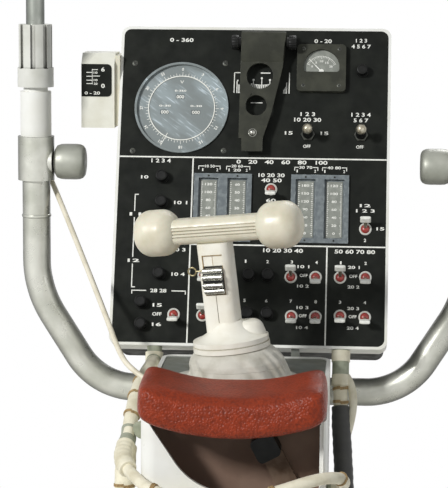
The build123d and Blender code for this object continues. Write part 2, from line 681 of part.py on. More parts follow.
def console_bracket():
    """Two cheeks and a web on the housing's back: they carry the console and hold the tube's low run."""
    back = HOUSING_BACK_Y + SEAT
    far = TUBE_Y + CHEEK_BOSS
    seat_y = FOOT_Y + CHEEK_SEAT
    top = FOOT_Z - CHEEK_TOP_DROP
    bottom = top - CHEEK_TALL
    profile = Polyline(
        (back, top), (back, bottom), (TUBE_Y, TUBE_LOW_Z - CHEEK_BOSS), (far, TUBE_LOW_Z),
        (far, FOOT_Z - (far - FOOT_Y) * math.tan(lean) - SEAT),
        (seat_y, FOOT_Z - (seat_y - FOOT_Y) * math.tan(lean) - SEAT), (seat_y, top), close=True)
    flat = Plane.YZ * make_face(profile)
    reach = CHEEK_X + 2 * CHEEK_THICKNESS
    body = block((-CHEEK_X, CHEEK_X), (back, back + WEB_THICKNESS), (bottom, top))
    for side in (-1, 1):
        body += Pos(side * CHEEK_X - CHEEK_THICKNESS / 2, 0, 0) * extrude(flat, CHEEK_THICKNESS)
    return body - rod(TUBE_RADIUS + SEAT, (-reach, TUBE_Y, TUBE_LOW_Z), (reach, TUBE_Y, TUBE_LOW_Z))


def handhold_tube():
    points = [(-TUBE_X, TUBE_TOP_Z), (-TUBE_X, TUBE_KNEE_Z), (-TUBE_KNEE_X, TUBE_LOW_Z),
              (TUBE_KNEE_X, TUBE_LOW_Z), (TUBE_X, TUBE_KNEE_Z), (TUBE_X, TUBE_TOP_Z)]
    bends = [TUBE_UPPER_BEND, TUBE_LOWER_BEND, TUBE_LOWER_BEND, TUBE_UPPER_BEND]
    path = Pos(0, TUBE_Y, 0) * (Plane.XZ * FilletPolyline(*points, radius=bends))
    start = Plane(origin=(-TUBE_X, TUBE_Y, TUBE_TOP_Z), z_dir=(0, 0, -1))
    ring = start * (Circle(TUBE_RADIUS) - Circle(TUBE_RADIUS - TUBE_WALL))
    return sweep(ring, path)


def tee(side):
    x = side * TUBE_X
    body = Pos(x, TUBE_Y, TEE_BOTTOM_Z) * Cylinder(TEE_RADIUS, TEE_TOP_Z - TEE_BOTTOM_Z, align=up_from_base)
    boss = rod(TEE_BOSS_RADIUS, (x, TUBE_Y, TEE_KNOB_Z), (x - side * (TEE_RADIUS - 1), TUBE_Y, TEE_KNOB_Z))
    bore = rod(TUBE_RADIUS + SEAT, (x, TUBE_Y, TEE_BOTTOM_Z - 1), (x, TUBE_Y, TUBE_TOP_Z))
    return body + boss - bore


def tee_knob(side):
    start = side * (TUBE_X - TEE_RADIUS - SEAT)
    neck_end = start - side * TEE_NECK_LENGTH
    knob_end = neck_end - side * TEE_KNOB_LENGTH
    knob = rod(TEE_KNOB_RADIUS, (neck_end, TUBE_Y, TEE_KNOB_Z), (knob_end, TUBE_Y, TEE_KNOB_Z))
    knob = fillet(knob.edges().filter_by(GeomType.CIRCLE), TEE_KNOB_ROUND)
    neck = rod(TEE_NECK_RADIUS, (start, TUBE_Y, TEE_KNOB_Z), (neck_end - side, TUBE_Y, TEE_KNOB_Z))
    return knob + neck


def mast_sleeve(side):
    """The socket on a tee that takes the foot of a mast or staff."""
    x = side * TUBE_X
    outer = rod(SLEEVE_RADIUS, (x, TUBE_Y, TEE_TOP_Z + SEAT), (x, TUBE_Y, SLEEVE_TOP_Z))
    neck = rod(SLEEVE_NECK_RADIUS, (x, TUBE_Y, SLEEVE_TOP_Z - 1), (x, TUBE_Y, SLEEVE_TOP_Z + SLEEVE_NECK))
    bore_top = SLEEVE_TOP_Z + 2 * SLEEVE_NECK
    bore = rod(MAST_RADIUS + MOVE, (x, TUBE_Y, TEE_TOP_Z + SLEEVE_FLOOR), (x, TUBE_Y, bore_top))
    return outer + neck - bore


def mast_collar():
    x = -TUBE_X
    skirt = rod(COLLAR_SKIRT_RADIUS, (x, TUBE_Y, COLLAR_SKIRT_Z), (x, TUBE_Y, COLLAR_SKIRT_TOP_Z))
    grip = rod(COLLAR_FLUTE_RADIUS, (x, TUBE_Y, COLLAR_SKIRT_TOP_Z - 1), (x, TUBE_Y, COLLAR_FLUTE_TOP_Z))
    body = skirt + grip
    tall = COLLAR_FLUTE_TOP_Z - COLLAR_SKIRT_TOP_Z
    for turn in range(FLUTES):
        cutter = Pos(x, TUBE_Y, COLLAR_SKIRT_TOP_Z) * Rot(0, 0, 360 / FLUTES * turn)
        cutter = cutter * Pos(COLLAR_FLUTE_RADIUS, 0, tall / 2)
        body -= cutter * Box(2 * FLUTE_DEPTH, FLUTE_WIDTH, tall + 1)
    body -= rod(MAST_RADIUS + SEAT, (x, TUBE_Y, COLLAR_SKIRT_Z - 5), (x, TUBE_Y, COLLAR_FLUTE_TOP_Z + 5))
    return body


def mast_tube():
    return rod(MAST_RADIUS, (-TUBE_X, TUBE_Y, TEE_TOP_Z + SLEEVE_FLOOR + MOVE), (-TUBE_X, TUBE_Y, MAST_TOP_Z))


def mast_fork():
    place = Pos(-TUBE_X, TUBE_Y, MAST_TOP_Z + SEAT)
    body = place * Box(FORK_WIDTH + 2 * FORK_WALL, FORK_DEPTH, FORK_FLOOR, align=up_from_base)
    tall = FORK_RISE + FORK_DEPTH / 2
    cheek = Box(FORK_WALL, FORK_DEPTH, tall, align=up_from_base)
    for side in (-1, 1):
        body += place * Pos(side * (FORK_WIDTH + FORK_WALL) / 2, 0, 0) * cheek
    left, right = -TUBE_X - FORK_WIDTH, -TUBE_X + FORK_WIDTH
    bore = HEAD_PIN_RADIUS + TRUNNION_FIT
    return body - rod(bore, (left, TUBE_Y, HEAD_PIVOT_Z), (right, TUBE_Y, HEAD_PIVOT_Z))


def antenna_head():
    """The tilting hub on its pin, with a stalk and a flat round ground plane."""
    centre = Pos(-TUBE_X, TUBE_Y, HEAD_PIVOT_Z)
    hub = centre * Rot(0, 90, 0) * Cylinder(HEAD_HUB_RADIUS, FORK_WIDTH - 2 * MOVE)
    pin = centre * Rot(0, 90, 0) * Cylinder(HEAD_PIN_RADIUS, FORK_WIDTH + 2 * FORK_WALL + 2 * HEAD_PIN_END)
    stalk = centre * Cylinder(STALK_RADIUS, STALK_LENGTH + DISH_THICKNESS / 2, align=up_from_base)
    dish = centre * Pos(0, 0, STALK_LENGTH) * Cylinder(DISH_RADIUS, DISH_THICKNESS, align=up_from_base)
    return hub + pin + stalk + dish


def radome():
    low = HEAD_PIVOT_Z + STALK_LENGTH + DISH_THICKNESS + SEAT
    cone = Cone(RADOME_FOOT_RADIUS, RADOME_TIP_RADIUS, RADOME_LENGTH, align=up_from_base)
    cone = fillet(cone.faces().sort_by(Axis.Z)[-1].edges(), min(RADOME_ROUND, RADOME_TIP_RADIUS - 1))
    return Pos(-TUBE_X, TUBE_Y, low) * cone


# Pitch indicator


def pitch_axis():
    x = -PANEL_WIDTH / 2 - PITCH_LEAF - PITCH_HINGE_RADIUS
    return (x, PITCH_FRONT_Y + PITCH_DEPTH + PITCH_HINGE_RADIUS + 1)


def pitch_box():
    right = -PANEL_WIDTH / 2 - PITCH_LEAF - MOVE
    back = PITCH_FRONT_Y + PITCH_DEPTH
    body = block((right - PITCH_WIDTH, right), (PITCH_FRONT_Y, back), (PITCH_LOW_Z, PITCH_HIGH_Z))
    edge = body.edges().filter_by(Axis.X).sort_by(lambda e: e.center().Y - e.center().Z)[0]
    body = chamfer(edge, PITCH_BEVEL)
    x, y = pitch_axis()
    low = PITCH_LOW_Z + PITCH_END + PITCH_KNUCKLE + MOVE
    high = PITCH_HIGH_Z - PITCH_END - PITCH_KNUCKLE - MOVE
    barrel = rod(PITCH_HINGE_RADIUS, (x, y, low), (x, y, high))
    link = block((x - 2 * PITCH_HINGE_RADIUS, x), (back - 1, y + PITCH_HINGE_RADIUS / 2), (low, high))
    pin = rod(PITCH_PIN_RADIUS, (x, y, PITCH_LOW_Z + PITCH_END), (x, y, PITCH_HIGH_Z - PITCH_END))
    return body + barrel + link + pin


def pitch_bracket():
    """A leaf on the console's side with two knuckles for the indicator's pin."""
    left = -PANEL_WIDTH / 2 - PITCH_LEAF
    x, y = pitch_axis()
    right = -PANEL_WIDTH / 2 - SEAT
    body = block((left, right), (PITCH_FRONT_Y + 4, y + 4), (PITCH_LOW_Z + 2, PITCH_HIGH_Z - 2))
    for low in (PITCH_LOW_Z + PITCH_END, PITCH_HIGH_Z - PITCH_END - PITCH_KNUCKLE):
        high = low + PITCH_KNUCKLE
        knuckle = rod(PITCH_HINGE_RADIUS, (x, y, low), (x, y, high))
        knuckle += block((x, left + 1), (y - 2, y + PITCH_HINGE_RADIUS), (low, high))
        knuckle -= rod(PITCH_PIN_RADIUS + TRUNNION_FIT, (x, y, low - 1), (x, y, high + 1))
        body += knuckle
    return body


# Hand control


def boot():
    """The boot's rigid stand-in: a bell-shaped shell inside the sphere that the collar sweeps."""
    base = TOP_PLATE_Z - TOP_PLATE_DROP + SEAT - PIVOT_Z
    mouth = math.sqrt(BOOT_REACH ** 2 - BOOT_MOUTH_RADIUS ** 2)
    outer = [(BOOT_SKIRT_RADIUS, base + BOOT_SKIRT), (BOOT_WAIST_RADIUS, base + BOOT_WAIST),
             (BOOT_SHOULDER_RADIUS, base + BOOT_SHOULDER), (BOOT_MOUTH_RADIUS, mouth)]
    inner = [(r - BOOT_WALL, z) for r, z in outer[:-1]]
    inner.append((BOOT_MOUTH_RADIUS - BOOT_WALL, mouth - BOOT_WALL / 2))
    outline = make_face([
        Line((BOOT_SKIRT_RADIUS - BOOT_WALL, base), (BOOT_SKIRT_RADIUS, base)),
        Line((BOOT_SKIRT_RADIUS, base), outer[0]),
        Spline(*outer),
        Line(outer[-1], inner[-1]),
        Spline(*inner[::-1]),
        Line(inner[0], (BOOT_SKIRT_RADIUS - BOOT_WALL, base)),
    ])
    return Pos(0, PIVOT_Y, PIVOT_Z) * revolve(Plane.XZ * outline, Axis.Z)


LUG_FOOT_LAP = 7.0
LUG_FOOT = 4.0


def gimbal_lugs():
    """Two bearing lugs hung from the top plate, in front of and behind the gimbal ring."""
    lugs = []
    top = TOP_PLATE_Z - TOP_PLATE_DROP - TOP_PLATE_THICKNESS - SEAT
    sides = (-LUG_WIDTH / 2, LUG_WIDTH / 2)
    bore = rod(TRUNNION_RADIUS + TRUNNION_FIT, (0, PIVOT_Y - PLATE_HOLE_RADIUS, PIVOT_Z),
               (0, PIVOT_Y + PLATE_HOLE_RADIUS, PIVOT_Z))
    for side in (-1, 1):
        near = PIVOT_Y + side * (GIMBAL_OUTER + LUG_GAP)
        far = near + side * LUG_THICKNESS
        reach = PIVOT_Y + side * (PLATE_HOLE_RADIUS + LUG_FOOT_LAP)
        lug = block(sides, (min(near, far), max(near, far)), (PIVOT_Z - LUG_WIDTH / 2, top))
        foot = block(sides, (min(near, reach), max(near, reach)), (top - LUG_FOOT, top))
        lugs.append(lug + foot - bore)
    return lugs


def gimbal_ring():
    ring = Cylinder(GIMBAL_OUTER, GIMBAL_HEIGHT) - Cylinder(GIMBAL_INNER, GIMBAL_HEIGHT + 2)
    inner = (GIMBAL_INNER + GIMBAL_OUTER) / 2
    outer = GIMBAL_OUTER + LUG_GAP + LUG_THICKNESS + 1
    for side in (-1, 1):
        ring += rod(TRUNNION_RADIUS, (0, side * inner, 0), (0, side * outer, 0))
    ring -= rod(TRUNNION_RADIUS + TRUNNION_FIT, (-2 * GIMBAL_OUTER, 0, 0), (2 * GIMBAL_OUTER, 0, 0))
    return pivot * ring


def stick_post():
    """The stick in one casting: shaft, two-step collar over the boot, flare, shoulder and slotted post."""
    groove_top = COLLAR_BOTTOM + COLLAR_LIP + COLLAR_GROOVE
    upper = COLLAR_RADIUS - COLLAR_STEP
    collar = Pos(0, 0, COLLAR_BOTTOM) * Cylinder(COLLAR_RADIUS, COLLAR_LIP, align=up_from_base)
    core = Cylinder(upper - COLLAR_GROOVE, COLLAR_TOP - COLLAR_BOTTOM - 1, align=up_from_base)
    collar += Pos(0, 0, COLLAR_BOTTOM + COLLAR_STEP) * core
    collar += Pos(0, 0, groove_top) * Cylinder(upper, COLLAR_TOP - groove_top, align=up_from_base)
    turned = Location((0, 0, 0), (0, 0, -GRIP_TURN)) * Location((POST_OFFSET, 0, 0))
    waist = (POST_WIDTH / 2 + POST_FLARE_GROW, COLLAR_TOP + POST_FLARE)
    flare = make_face([
        Spline((upper, COLLAR_TOP), waist, (POST_DEPTH / 2, POST_FOOT)),
        Line((POST_DEPTH / 2, POST_FOOT), (0, POST_FOOT)),
        Line((0, POST_FOOT), (0, COLLAR_TOP)),
        Line((0, COLLAR_TOP), (upper, COLLAR_TOP)),
    ])
    flare = revolve(Plane.XZ * flare, Axis.Z)
    shoulder = Cone(SHOULDER_RADIUS, SHOULDER_TOP_RADIUS, SHOULDER_TALL, align=up_from_base)
    shoulder = fillet(shoulder.faces().sort_by(Axis.Z)[-1].edges(), SHOULDER_ROUND)
    shoulder = Pos(SHOULDER_X, SHOULDER_Y, COLLAR_TOP - COLLAR_GROOVE) * shoulder
    tall = BAR_HEIGHT - BAR_TALL / 2 - COLLAR_TOP + 1 - SEAT
    section = RectangleRounded(POST_WIDTH, POST_DEPTH, POST_CORNER)
    column = turned * Pos(0, 0, COLLAR_TOP - 1) * extrude(section, tall)
    front = -POST_DEPTH / 2
    half, seam_half = SLOT_WIDTH / 2, SEAM_WIDTH / 2
    slot = block((-half, half), (front - POST_DEPTH, front + SLOT_DEPTH), (SLOT_LOW, SLOT_LOW + SLIDER_TALL))
    slot += block((-half, half), (front - POST_DEPTH, front + SHUTTER_DEPTH), (SLOT_LOW, SLOT_HIGH))
    seam = block((-seam_half, seam_half), (front - 1, front + SEAM_DEPTH), (POST_FOOT, SLOT_LOW + 1))
    body = collar + flare + shoulder + column - turned * slot - turned * seam
    body -= Sphere(BOOT_REACH + CUP_CLEARANCE)
    shaft = Pos(0, 0, -SHAFT_BELOW) * Cylinder(SHAFT_RADIUS, COLLAR_TOP + SHAFT_BELOW, align=up_from_base)
    pin = rod(TRUNNION_RADIUS, (-GIMBAL_OUTER, 0, 0), (GIMBAL_OUTER, 0, 0))
    return pivot * (body + shaft + pin)


def t_bar():
    """The cross bar with finger grooves low on its front."""
    half, front = BAR_LENGTH / 2, -BAR_DEEP / 2
    section = Plane.YZ * RectangleRounded(BAR_DEEP, BAR_TALL, BAR_CORNER)
    bar = Pos(-half, 0, BAR_HEIGHT) * extrude(section, BAR_LENGTH)
    for rib in range(BAR_RIBS):
        low = BAR_HEIGHT - BAR_TALL / 2 + BAR_RIB_START + rib * BAR_RIB_PITCH
        bar -= block((-half, half), (front - 1, front + BAR_RIB_DEPTH), (low, low + BAR_RIB_WIDTH))
    return grip * bar


def t_knob(side):
    """A barrel-shaped end, socketed over the cross bar."""
    half = Pos(0, KNOB_RADIUS) * Rectangle(2 * KNOB_LENGTH, 2 * KNOB_RADIUS)
    knob = revolve(RectangleRounded(KNOB_LENGTH, 2 * KNOB_RADIUS, KNOB_CORNER) & half, Axis.X)
    knob = Pos(side * KNOB_OFFSET, 0, BAR_HEIGHT) * knob
    socket = RectangleRounded(BAR_DEEP + 2 * SEAT, BAR_TALL + 2 * SEAT, BAR_CORNER + SEAT)
    start = side * (KNOB_OFFSET - KNOB_LENGTH / 2 - KNOB_SOCKET)
    end = side * (BAR_LENGTH / 2 + SEAT)
    knob -= Pos(min(start, end), 0, BAR_HEIGHT) * extrude(Plane.YZ * socket, abs(end - start))
    return grip * knob


def thumb_slider():
    """A flattened drum with broad ribs round its front, sunk in the lower part of the slot."""
    front = -POST_DEPTH / 2
    half = SLOT_WIDTH / 2 - SEAT
    drum = extrude(Plane.YZ * Ellipse(DRUM_DEEP, DRUM_TALL), 2 * half)
    for rib in range(SLIDER_RIBS):
        turn = math.radians((rib - (SLIDER_RIBS - 1) / 2) * SLIDER_RIB_TURN)
        y, z = -DRUM_DEEP * math.cos(turn), DRUM_TALL * math.sin(turn)
        drum += rod(SLIDER_RIB_RADIUS, (0, y, z), (2 * half, y, z))
    top = SLOT_LOW + SLIDER_TALL
    drum += block((0, 2 * half), (0, SLOT_DEPTH - DRUM_SINK - SEAT), (-DRUM_TALL, DRUM_TALL))
    drum = Pos(-half, front + DRUM_SINK, (SLOT_LOW + top) / 2) * drum
    back = front + SLOT_DEPTH - SEAT
    well = block((-half, half), (front - POST_DEPTH, back), (SLOT_LOW + SEAT, top - SEAT))
    return post * (drum & well)


def slider_ring():
    """A wire ring at the post's left edge, hooked to the slider."""
    y = -POST_DEPTH / 2 - RING_OUT
    z = SLOT_LOW + SLIDER_TALL - RING_RADIUS
    x = -POST_WIDTH / 2 - RING_RADIUS - RING_WIRE
    ring = Pos(x, y, z) * Rot(90, 0, 0) * Torus(RING_RADIUS, RING_WIRE)
    wire = rod(RING_WIRE, (-POST_WIDTH / 2 - RING_WIRE, y, z), (-SLOT_WIDTH / 2 - RING_WIRE, y, z))
    return post * (ring + wire)


# Harness and cable routes: points chosen by hand, x, y, z

# The two side harnesses give x as the distance out from the housing's side.
HARNESS_D = 14.0
HARNESS_LEFT = (
    (10, 33, 484.5), (10, 15, 484.5), (13, -9, 483), (17, -35, 476.5), (20, -60, 465.5), (22.5, -82, 449.5),
    (24, -98, 428), (25, -104, 401), (25, -103, 370), (24, -97, 335), (21, -88, 297), (16, -77.5, 256),
    (9.5, -66, 212), (3, -55.5, 166), (-2, -48, 120), (-4, -45, 78), (-4, -45, 34),
)
HARNESS_RIGHT = (
    (10, 35, 464), (10.5, 28.5, 447), (12, 19, 421), (14.5, 7, 389), (17, -6, 351), (17.5, -16, 311),
    (15, -25, 266), (9.5, -33.5, 215), (3, -40.5, 160), (-2.5, -44.5, 106), (-4, -45, 66), (-4, -45, 34),
)
SWAG_D = 11.0
HARNESS_SWAG = (
    (-92, -113, 449.5), (-99.5, -122.5, 448), (-104.5, -134, 443), (-105.5, -147, 436), (-102.5, -160, 429),
    (-95.5, -173, 423), (-85, -185.5, 418.5), (-70.5, -197, 415), (-51.5, -206.5, 412.5), (-27, -212.5, 411),
    (1, -214.5, 412), (28, -213.5, 417), (50, -210, 423.5), (68.5, -203.5, 428.5), (84, -194, 430),
    (95.5, -181.5, 427), (101, -167, 420.5), (100, -153.5, 412.5), (92.5, -142, 407),
)
CABLE_D = 5.4
ANTENNA_CABLE = (
    (-215.7, 127, 667.2), (-203, 112, 645.5), (-138, 3, 537), (-122, -27, 507.5), (-109, -45, 494),
    (-92, -52, 485),
)
FLOOR_GLAND_RADIUS = 10.0
WALL_GLAND_RADIUS = 8.0
WALL_GLAND = 24.0
CABLE_GLAND_RADIUS = 4.5
CABLE_GLAND = 14.0
CONNECTOR_OFF = 10.0
CONNECTOR_RADIUS = 8.5
CONNECTOR_ELBOW_RADIUS = 7.5
CONNECTOR_ELBOW_BEND = 9.0
CONNECTOR_BACK = 8.0
CONNECTOR_BOOT = 34.0
CLIP_LENGTH = 22.0
CLIP_RADIUS = 5.0
CLIP_FOOT = 10.0
CLIP_RISE = 8.8


def beside(side, points):
    """The route with x measured from the housing's side instead of the middle."""
    return tuple((side * (HOUSING_WIDTH / 2 + x), y, z) for x, y, z in points)


def cord(points, diameter):
    """A round tube through straight runs joined by tangent arcs as large as the runs allow."""
    spots = [Vector(*p) for p in points]
    radii = []
    for before, here, after in zip(spots, spots[1:], spots[2:]):
        turn = math.radians((here - before).get_angle(after - here))
        shorter = min((here - before).length, (after - here).length)
        radii.append(0.45 * shorter / math.tan(turn / 2))
    path = FilletPolyline(*spots, radius=radii)
    start = Plane(origin=spots[0], z_dir=spots[1] - spots[0])
    tube = sweep(start * Circle(diameter / 2), path)
    share = tube.volume / (math.pi * diameter ** 2 / 4 * path.length)
    least = round(min(radii) / diameter, 1)
    print("cord", round(path.length), "mm, least radius in diameters", least, "volume share", round(share, 4))
    return tube


def gland(radius, points, depth):
    """A collar that carries a cord's last point on into the wall it meets."""
    end = Vector(*points[0])
    along = (end - Vector(*points[1])).normalized()
    return rod(radius, end + along * SEAT, end + along * depth)


def harness_glands():
    """Collars where the cords go into the base flange and the housing's sides."""
    glands = []
    half = HOUSING_WIDTH / 2 + SEAT
    reach = 2 * HOUSING_WIDTH
    around = Box(2 * reach, 2 * reach, 2 * reach)
    outside = Pos(0, 0, HOUSING_BOTTOM_Z) * (around - Box(2 * half, 2 * reach, 2 * reach))
    for side, points in ((-1, HARNESS_LEFT), (1, HARNESS_RIGHT)):
        x, y, z = beside(side, points)[-1]
        glands.append(rod(FLOOR_GLAND_RADIUS, (x, y, BASE_THICKNESS + SEAT), (x, y, z - SEAT)))
    glands.append(gland(WALL_GLAND_RADIUS, HARNESS_SWAG, WALL_GLAND) & outside)
    glands.append(gland(WALL_GLAND_RADIUS, HARNESS_SWAG[::-1], WALL_GLAND) & outside)
    glands.append(gland(CABLE_GLAND_RADIUS, ANTENNA_CABLE[::-1], CABLE_GLAND) & outside)
    return glands


def harness_connectors():
    """Under the console: left one with an elbow towards the driver, right a straight boot."""
    down = Vector(0, -math.sin(lean), -math.cos(lean))
    top_y = FOOT_Y + CONNECTOR_BACK * math.cos(lean) + down.Y * SEAT
    top_z = FOOT_Z - CONNECTOR_BACK * math.sin(lean) + down.Z * SEAT
    x = HOUSING_WIDTH / 2 + CONNECTOR_OFF
    right_top = Vector(x, top_y, top_z)
    right = rod(CONNECTOR_RADIUS, right_top, right_top + down * (CONNECTOR_BOOT - 2 * SEAT))
    end = Vector(*beside(-1, HARNESS_LEFT)[0]) + Vector(0, SEAT, 0)
    left_top = Vector(-x, top_y, top_z)
    corner = Vector(-x, top_y + down.Y / down.Z * (end.Z - top_z), end.Z)
    path = FilletPolyline(left_top, corner, end, radius=CONNECTOR_ELBOW_BEND)
    left = sweep(Plane(origin=left_top, z_dir=down) * Circle(CONNECTOR_ELBOW_RADIUS), path)
    return [left, right]


def cable_clip():
    """A short connector strapped to the back of the left tee."""
    start = Vector(*ANTENNA_CABLE[0])
    along = (Vector(*ANTENNA_CABLE[1]) - start).normalized()
    body = rod(CLIP_RADIUS, start - along * SEAT, start - along * CLIP_LENGTH)
    low = start.Z + CLIP_RISE
    back = start.Y + CLIP_RADIUS / 2
    foot = block((-TUBE_X - CLIP_RADIUS, -TUBE_X + CLIP_RADIUS), (TUBE_Y, back), (low, low + CLIP_FOOT))
    foot -= Pos(-TUBE_X, TUBE_Y, TEE_BOTTOM_Z) * Cylinder(TEE_RADIUS + SEAT, 3 * TEE_LENGTH)
    return body + foot


PIECES = (
    ("base_flange", base_flange),
    ("pedestal_column", pedestal_column),
    ("column_gussets", column_gussets),
    ("pedestal_housing", pedestal_housing),
    ("top_plate", top_plate),
    ("housing_liner", housing_liner),
    ("latch_block", latch_block),
    ("latch_strap", latch_strap),
    ("armrest_tray", tray),
    ("armrest_pad", arm_pad),
    ("console_bracket", console_bracket),
    ("console_case", console_case),
    ("console_frame", console_frame),
    ("panel_plate", panel_plate),
    ("heading_indicator", heading_indicator),
    ("speed_meter", speed_meter),
    ("edge_meters", edge_meters),
    ("circuit_breakers", breakers),
    ("toggle_switches", toggles),
    ("ball_toggles", ball_toggles),
    ("flap_ears", flap_ears),
    ("shadow_flap", shadow_flap),
    ("pitch_bracket", pitch_bracket),
    ("pitch_indicator", pitch_box),
    ("handhold_tube", handhold_tube),
    ("tee_left", lambda: tee(-1)),
    ("tee_right", lambda: tee(1)),
    ("tee_knob_left", lambda: tee_knob(-1)),
    ("tee_knob_right", lambda: tee_knob(1)),
    ("sleeve_left", lambda: mast_sleeve(-1)),
    ("sleeve_right", lambda: mast_sleeve(1)),
    ("mast_collar", mast_collar),
    ("mast_tube", mast_tube),
    ("mast_fork", mast_fork),
    ("antenna_head", antenna_head),
    ("antenna_radome", radome),
    ("stick_boot", boot),
    ("gimbal_lugs", gimbal_lugs),
    ("gimbal_ring", gimbal_ring),
    ("stick_post", stick_post),
    ("grip_bar", t_bar),
    ("grip_knob_left", lambda: t_knob(-1)),
    ("grip_knob_right", lambda: t_knob(1)),
    ("thumb_slider", thumb_slider),
    ("slider_ring", slider_ring),
    ("harness_glands", harness_glands),
    ("harness_connectors", harness_connectors),
    ("cable_clip", cable_clip),
    ("harness_left", lambda: cord(beside(-1, HARNESS_LEFT), HARNESS_D)),
    ("harness_right", lambda: cord(beside(1, HARNESS_RIGHT), HARNESS_D)),
    ("harness_swag", lambda: cord(HARNESS_SWAG, SWAG_D)),
    ("antenna_cable", lambda: cord(ANTENNA_CABLE, CABLE_D)),
)

for name, make in PIECES:
    made = make()
    save(name, *(made if isinstance(made, list) else [made]))
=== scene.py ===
"""Dresses the rover control console: finishes for every CAD node and the pieces too fine or too soft for it.

Sizes in the tables are millimetres. Everything built is in metres, in the CAD model's frame.
"""
import json
import math
import bmesh
import bpy
import numpy as np
from mathutils import Matrix, Vector


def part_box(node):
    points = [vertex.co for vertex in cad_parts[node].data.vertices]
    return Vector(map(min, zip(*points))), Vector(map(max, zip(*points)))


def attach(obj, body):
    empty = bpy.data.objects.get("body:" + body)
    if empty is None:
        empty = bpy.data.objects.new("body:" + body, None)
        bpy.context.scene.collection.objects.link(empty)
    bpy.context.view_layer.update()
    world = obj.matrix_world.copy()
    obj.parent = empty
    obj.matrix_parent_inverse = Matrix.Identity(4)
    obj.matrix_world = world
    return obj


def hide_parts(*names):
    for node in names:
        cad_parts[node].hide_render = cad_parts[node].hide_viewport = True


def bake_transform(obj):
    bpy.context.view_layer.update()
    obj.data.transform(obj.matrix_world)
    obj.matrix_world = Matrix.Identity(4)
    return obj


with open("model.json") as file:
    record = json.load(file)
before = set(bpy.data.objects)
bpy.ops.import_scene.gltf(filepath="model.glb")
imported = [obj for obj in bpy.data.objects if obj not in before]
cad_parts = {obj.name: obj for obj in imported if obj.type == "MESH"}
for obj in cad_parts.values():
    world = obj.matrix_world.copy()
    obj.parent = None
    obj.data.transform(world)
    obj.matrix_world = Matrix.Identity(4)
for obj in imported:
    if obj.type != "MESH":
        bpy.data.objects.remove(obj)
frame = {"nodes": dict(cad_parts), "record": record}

bl_info = {
    "name": "Rover control console",
    "version": (1, 0, 0),
    "blender": (4, 5, 0),
    "location": "View3D > Sidebar > Console",
    "description": "Dresses the packed rover control console: finishes, lettering, cords and soft pieces",
    "category": "Object",
}

MM = 0.001
PANEL_WIDE = 280.0
PANEL_TALL = 336.0
PANEL_FOOT = (40.0, 500.0)
PANEL_LEAN = math.radians(20.75)
PLATE_OUT = -0.4
PIVOT = (0.0, -72.0, 456.0)
STICK_LEAN = math.radians(7.0)


# Shapes: each is a pair of points, in metres, and faces

def on_panel(u, v, out):
    """Metres from a panel place: u right of the left edge, v down from the top edge, out from the rim."""
    u, v, out = np.broadcast_arrays(*(np.asarray(value, float) for value in (u, v, out)))
    up = PANEL_TALL - v
    y = PANEL_FOOT[0] + up * math.sin(PANEL_LEAN) - out * math.cos(PANEL_LEAN)
    z = PANEL_FOOT[1] + up * math.cos(PANEL_LEAN) + out * math.sin(PANEL_LEAN)
    return np.stack([u - PANEL_WIDE / 2, y, z], -1) * MM


def on_stick(points):
    """Metres from a stick place in millimetres: z runs up the stick from its pivot, leaning to the left."""
    x, y, z = np.moveaxis(np.asarray(points, float), -1, 0)
    sine, cosine = math.sin(STICK_LEAN), math.cos(STICK_LEAN)
    return np.stack([PIVOT[0] + x * cosine - z * sine, PIVOT[1] + y, PIVOT[2] + x * sine + z * cosine],
                    -1) * MM


def grid_faces(rows, columns, around=True):
    """Quads between the neighbours of a grid of points; around joins the last column to the first."""
    row = np.arange(rows - 1)[:, None]
    column = np.arange(columns if around else columns - 1)[None, :]
    right = (column + 1) % columns
    corners = np.broadcast_arrays(row * columns + column, row * columns + right,
                                  (row + 1) * columns + right, (row + 1) * columns + column)
    return np.stack(corners, -1).reshape(-1, 4)


def full_turn(sides):
    """Evenly spaced angles round a full turn."""
    return np.linspace(0, 2 * math.pi, sides, endpoint=False)


def squared(angle, power):
    """Radius of the superellipse |x|^p + |y|^p = 1 at each angle."""
    return (np.abs(np.cos(angle)) ** power + np.abs(np.sin(angle)) ** power) ** (-1 / power)


def turned(profile, sides=32, ripple=None):
    """A round form about z: radius and height along the profile, swept through a full turn.

    ripple(angle, height) multiplies the radius, for knurls, flutes and flats.
    """
    radius, height = np.asarray(profile, float).T
    angle = full_turn(sides)
    radius = radius[:, None] * np.ones_like(angle)
    height = height[:, None] * np.ones_like(angle)
    if ripple is not None:
        radius = radius * ripple(angle[None, :], height)
    points = np.stack([radius * np.cos(angle), radius * np.sin(angle), height], -1)
    return points.reshape(-1, 3), grid_faces(len(profile), sides)


def boxes(rows):
    """One box per row of low and high x, low and high y, low and high z."""
    rows = np.asarray(rows, float).reshape(-1, 6)
    pick = np.array([[i, 2 + j, 4 + k] for k in (0, 1) for j in (0, 1) for i in (0, 1)])
    sides = np.array([[0, 2, 3, 1], [4, 5, 7, 6], [0, 1, 5, 4], [2, 6, 7, 3], [0, 4, 6, 2], [1, 3, 7, 5]])
    faces = np.arange(len(rows))[:, None, None] * 8 + sides
    return rows[:, pick].reshape(-1, 3), faces.reshape(-1, 4)


def slab(width, depth, height, round_off, power=4, rows=9, sides=40):
    """A block standing on z 0, with a superellipse for its outline, drawn in towards a rounded top."""
    angle = full_turn(sides)
    flat = squared(angle, power)
    rise = np.linspace(0, math.pi / 2, rows - 2)
    drawn_in = np.concatenate([[1e3, 0], round_off * (1 - np.cos(rise)), [1e3]])
    level = np.concatenate([[0, 0], height - round_off + round_off * np.sin(rise), [height]])
    across = np.maximum(width / 2 - drawn_in, 0)[:, None]
    along = np.maximum(depth / 2 - drawn_in, 0)[:, None]
    points = np.stack([across * flat * np.cos(angle), along * flat * np.sin(angle),
                       level[:, None] * np.ones_like(angle)], -1)
    return points.reshape(-1, 3), grid_faces(len(level), sides)


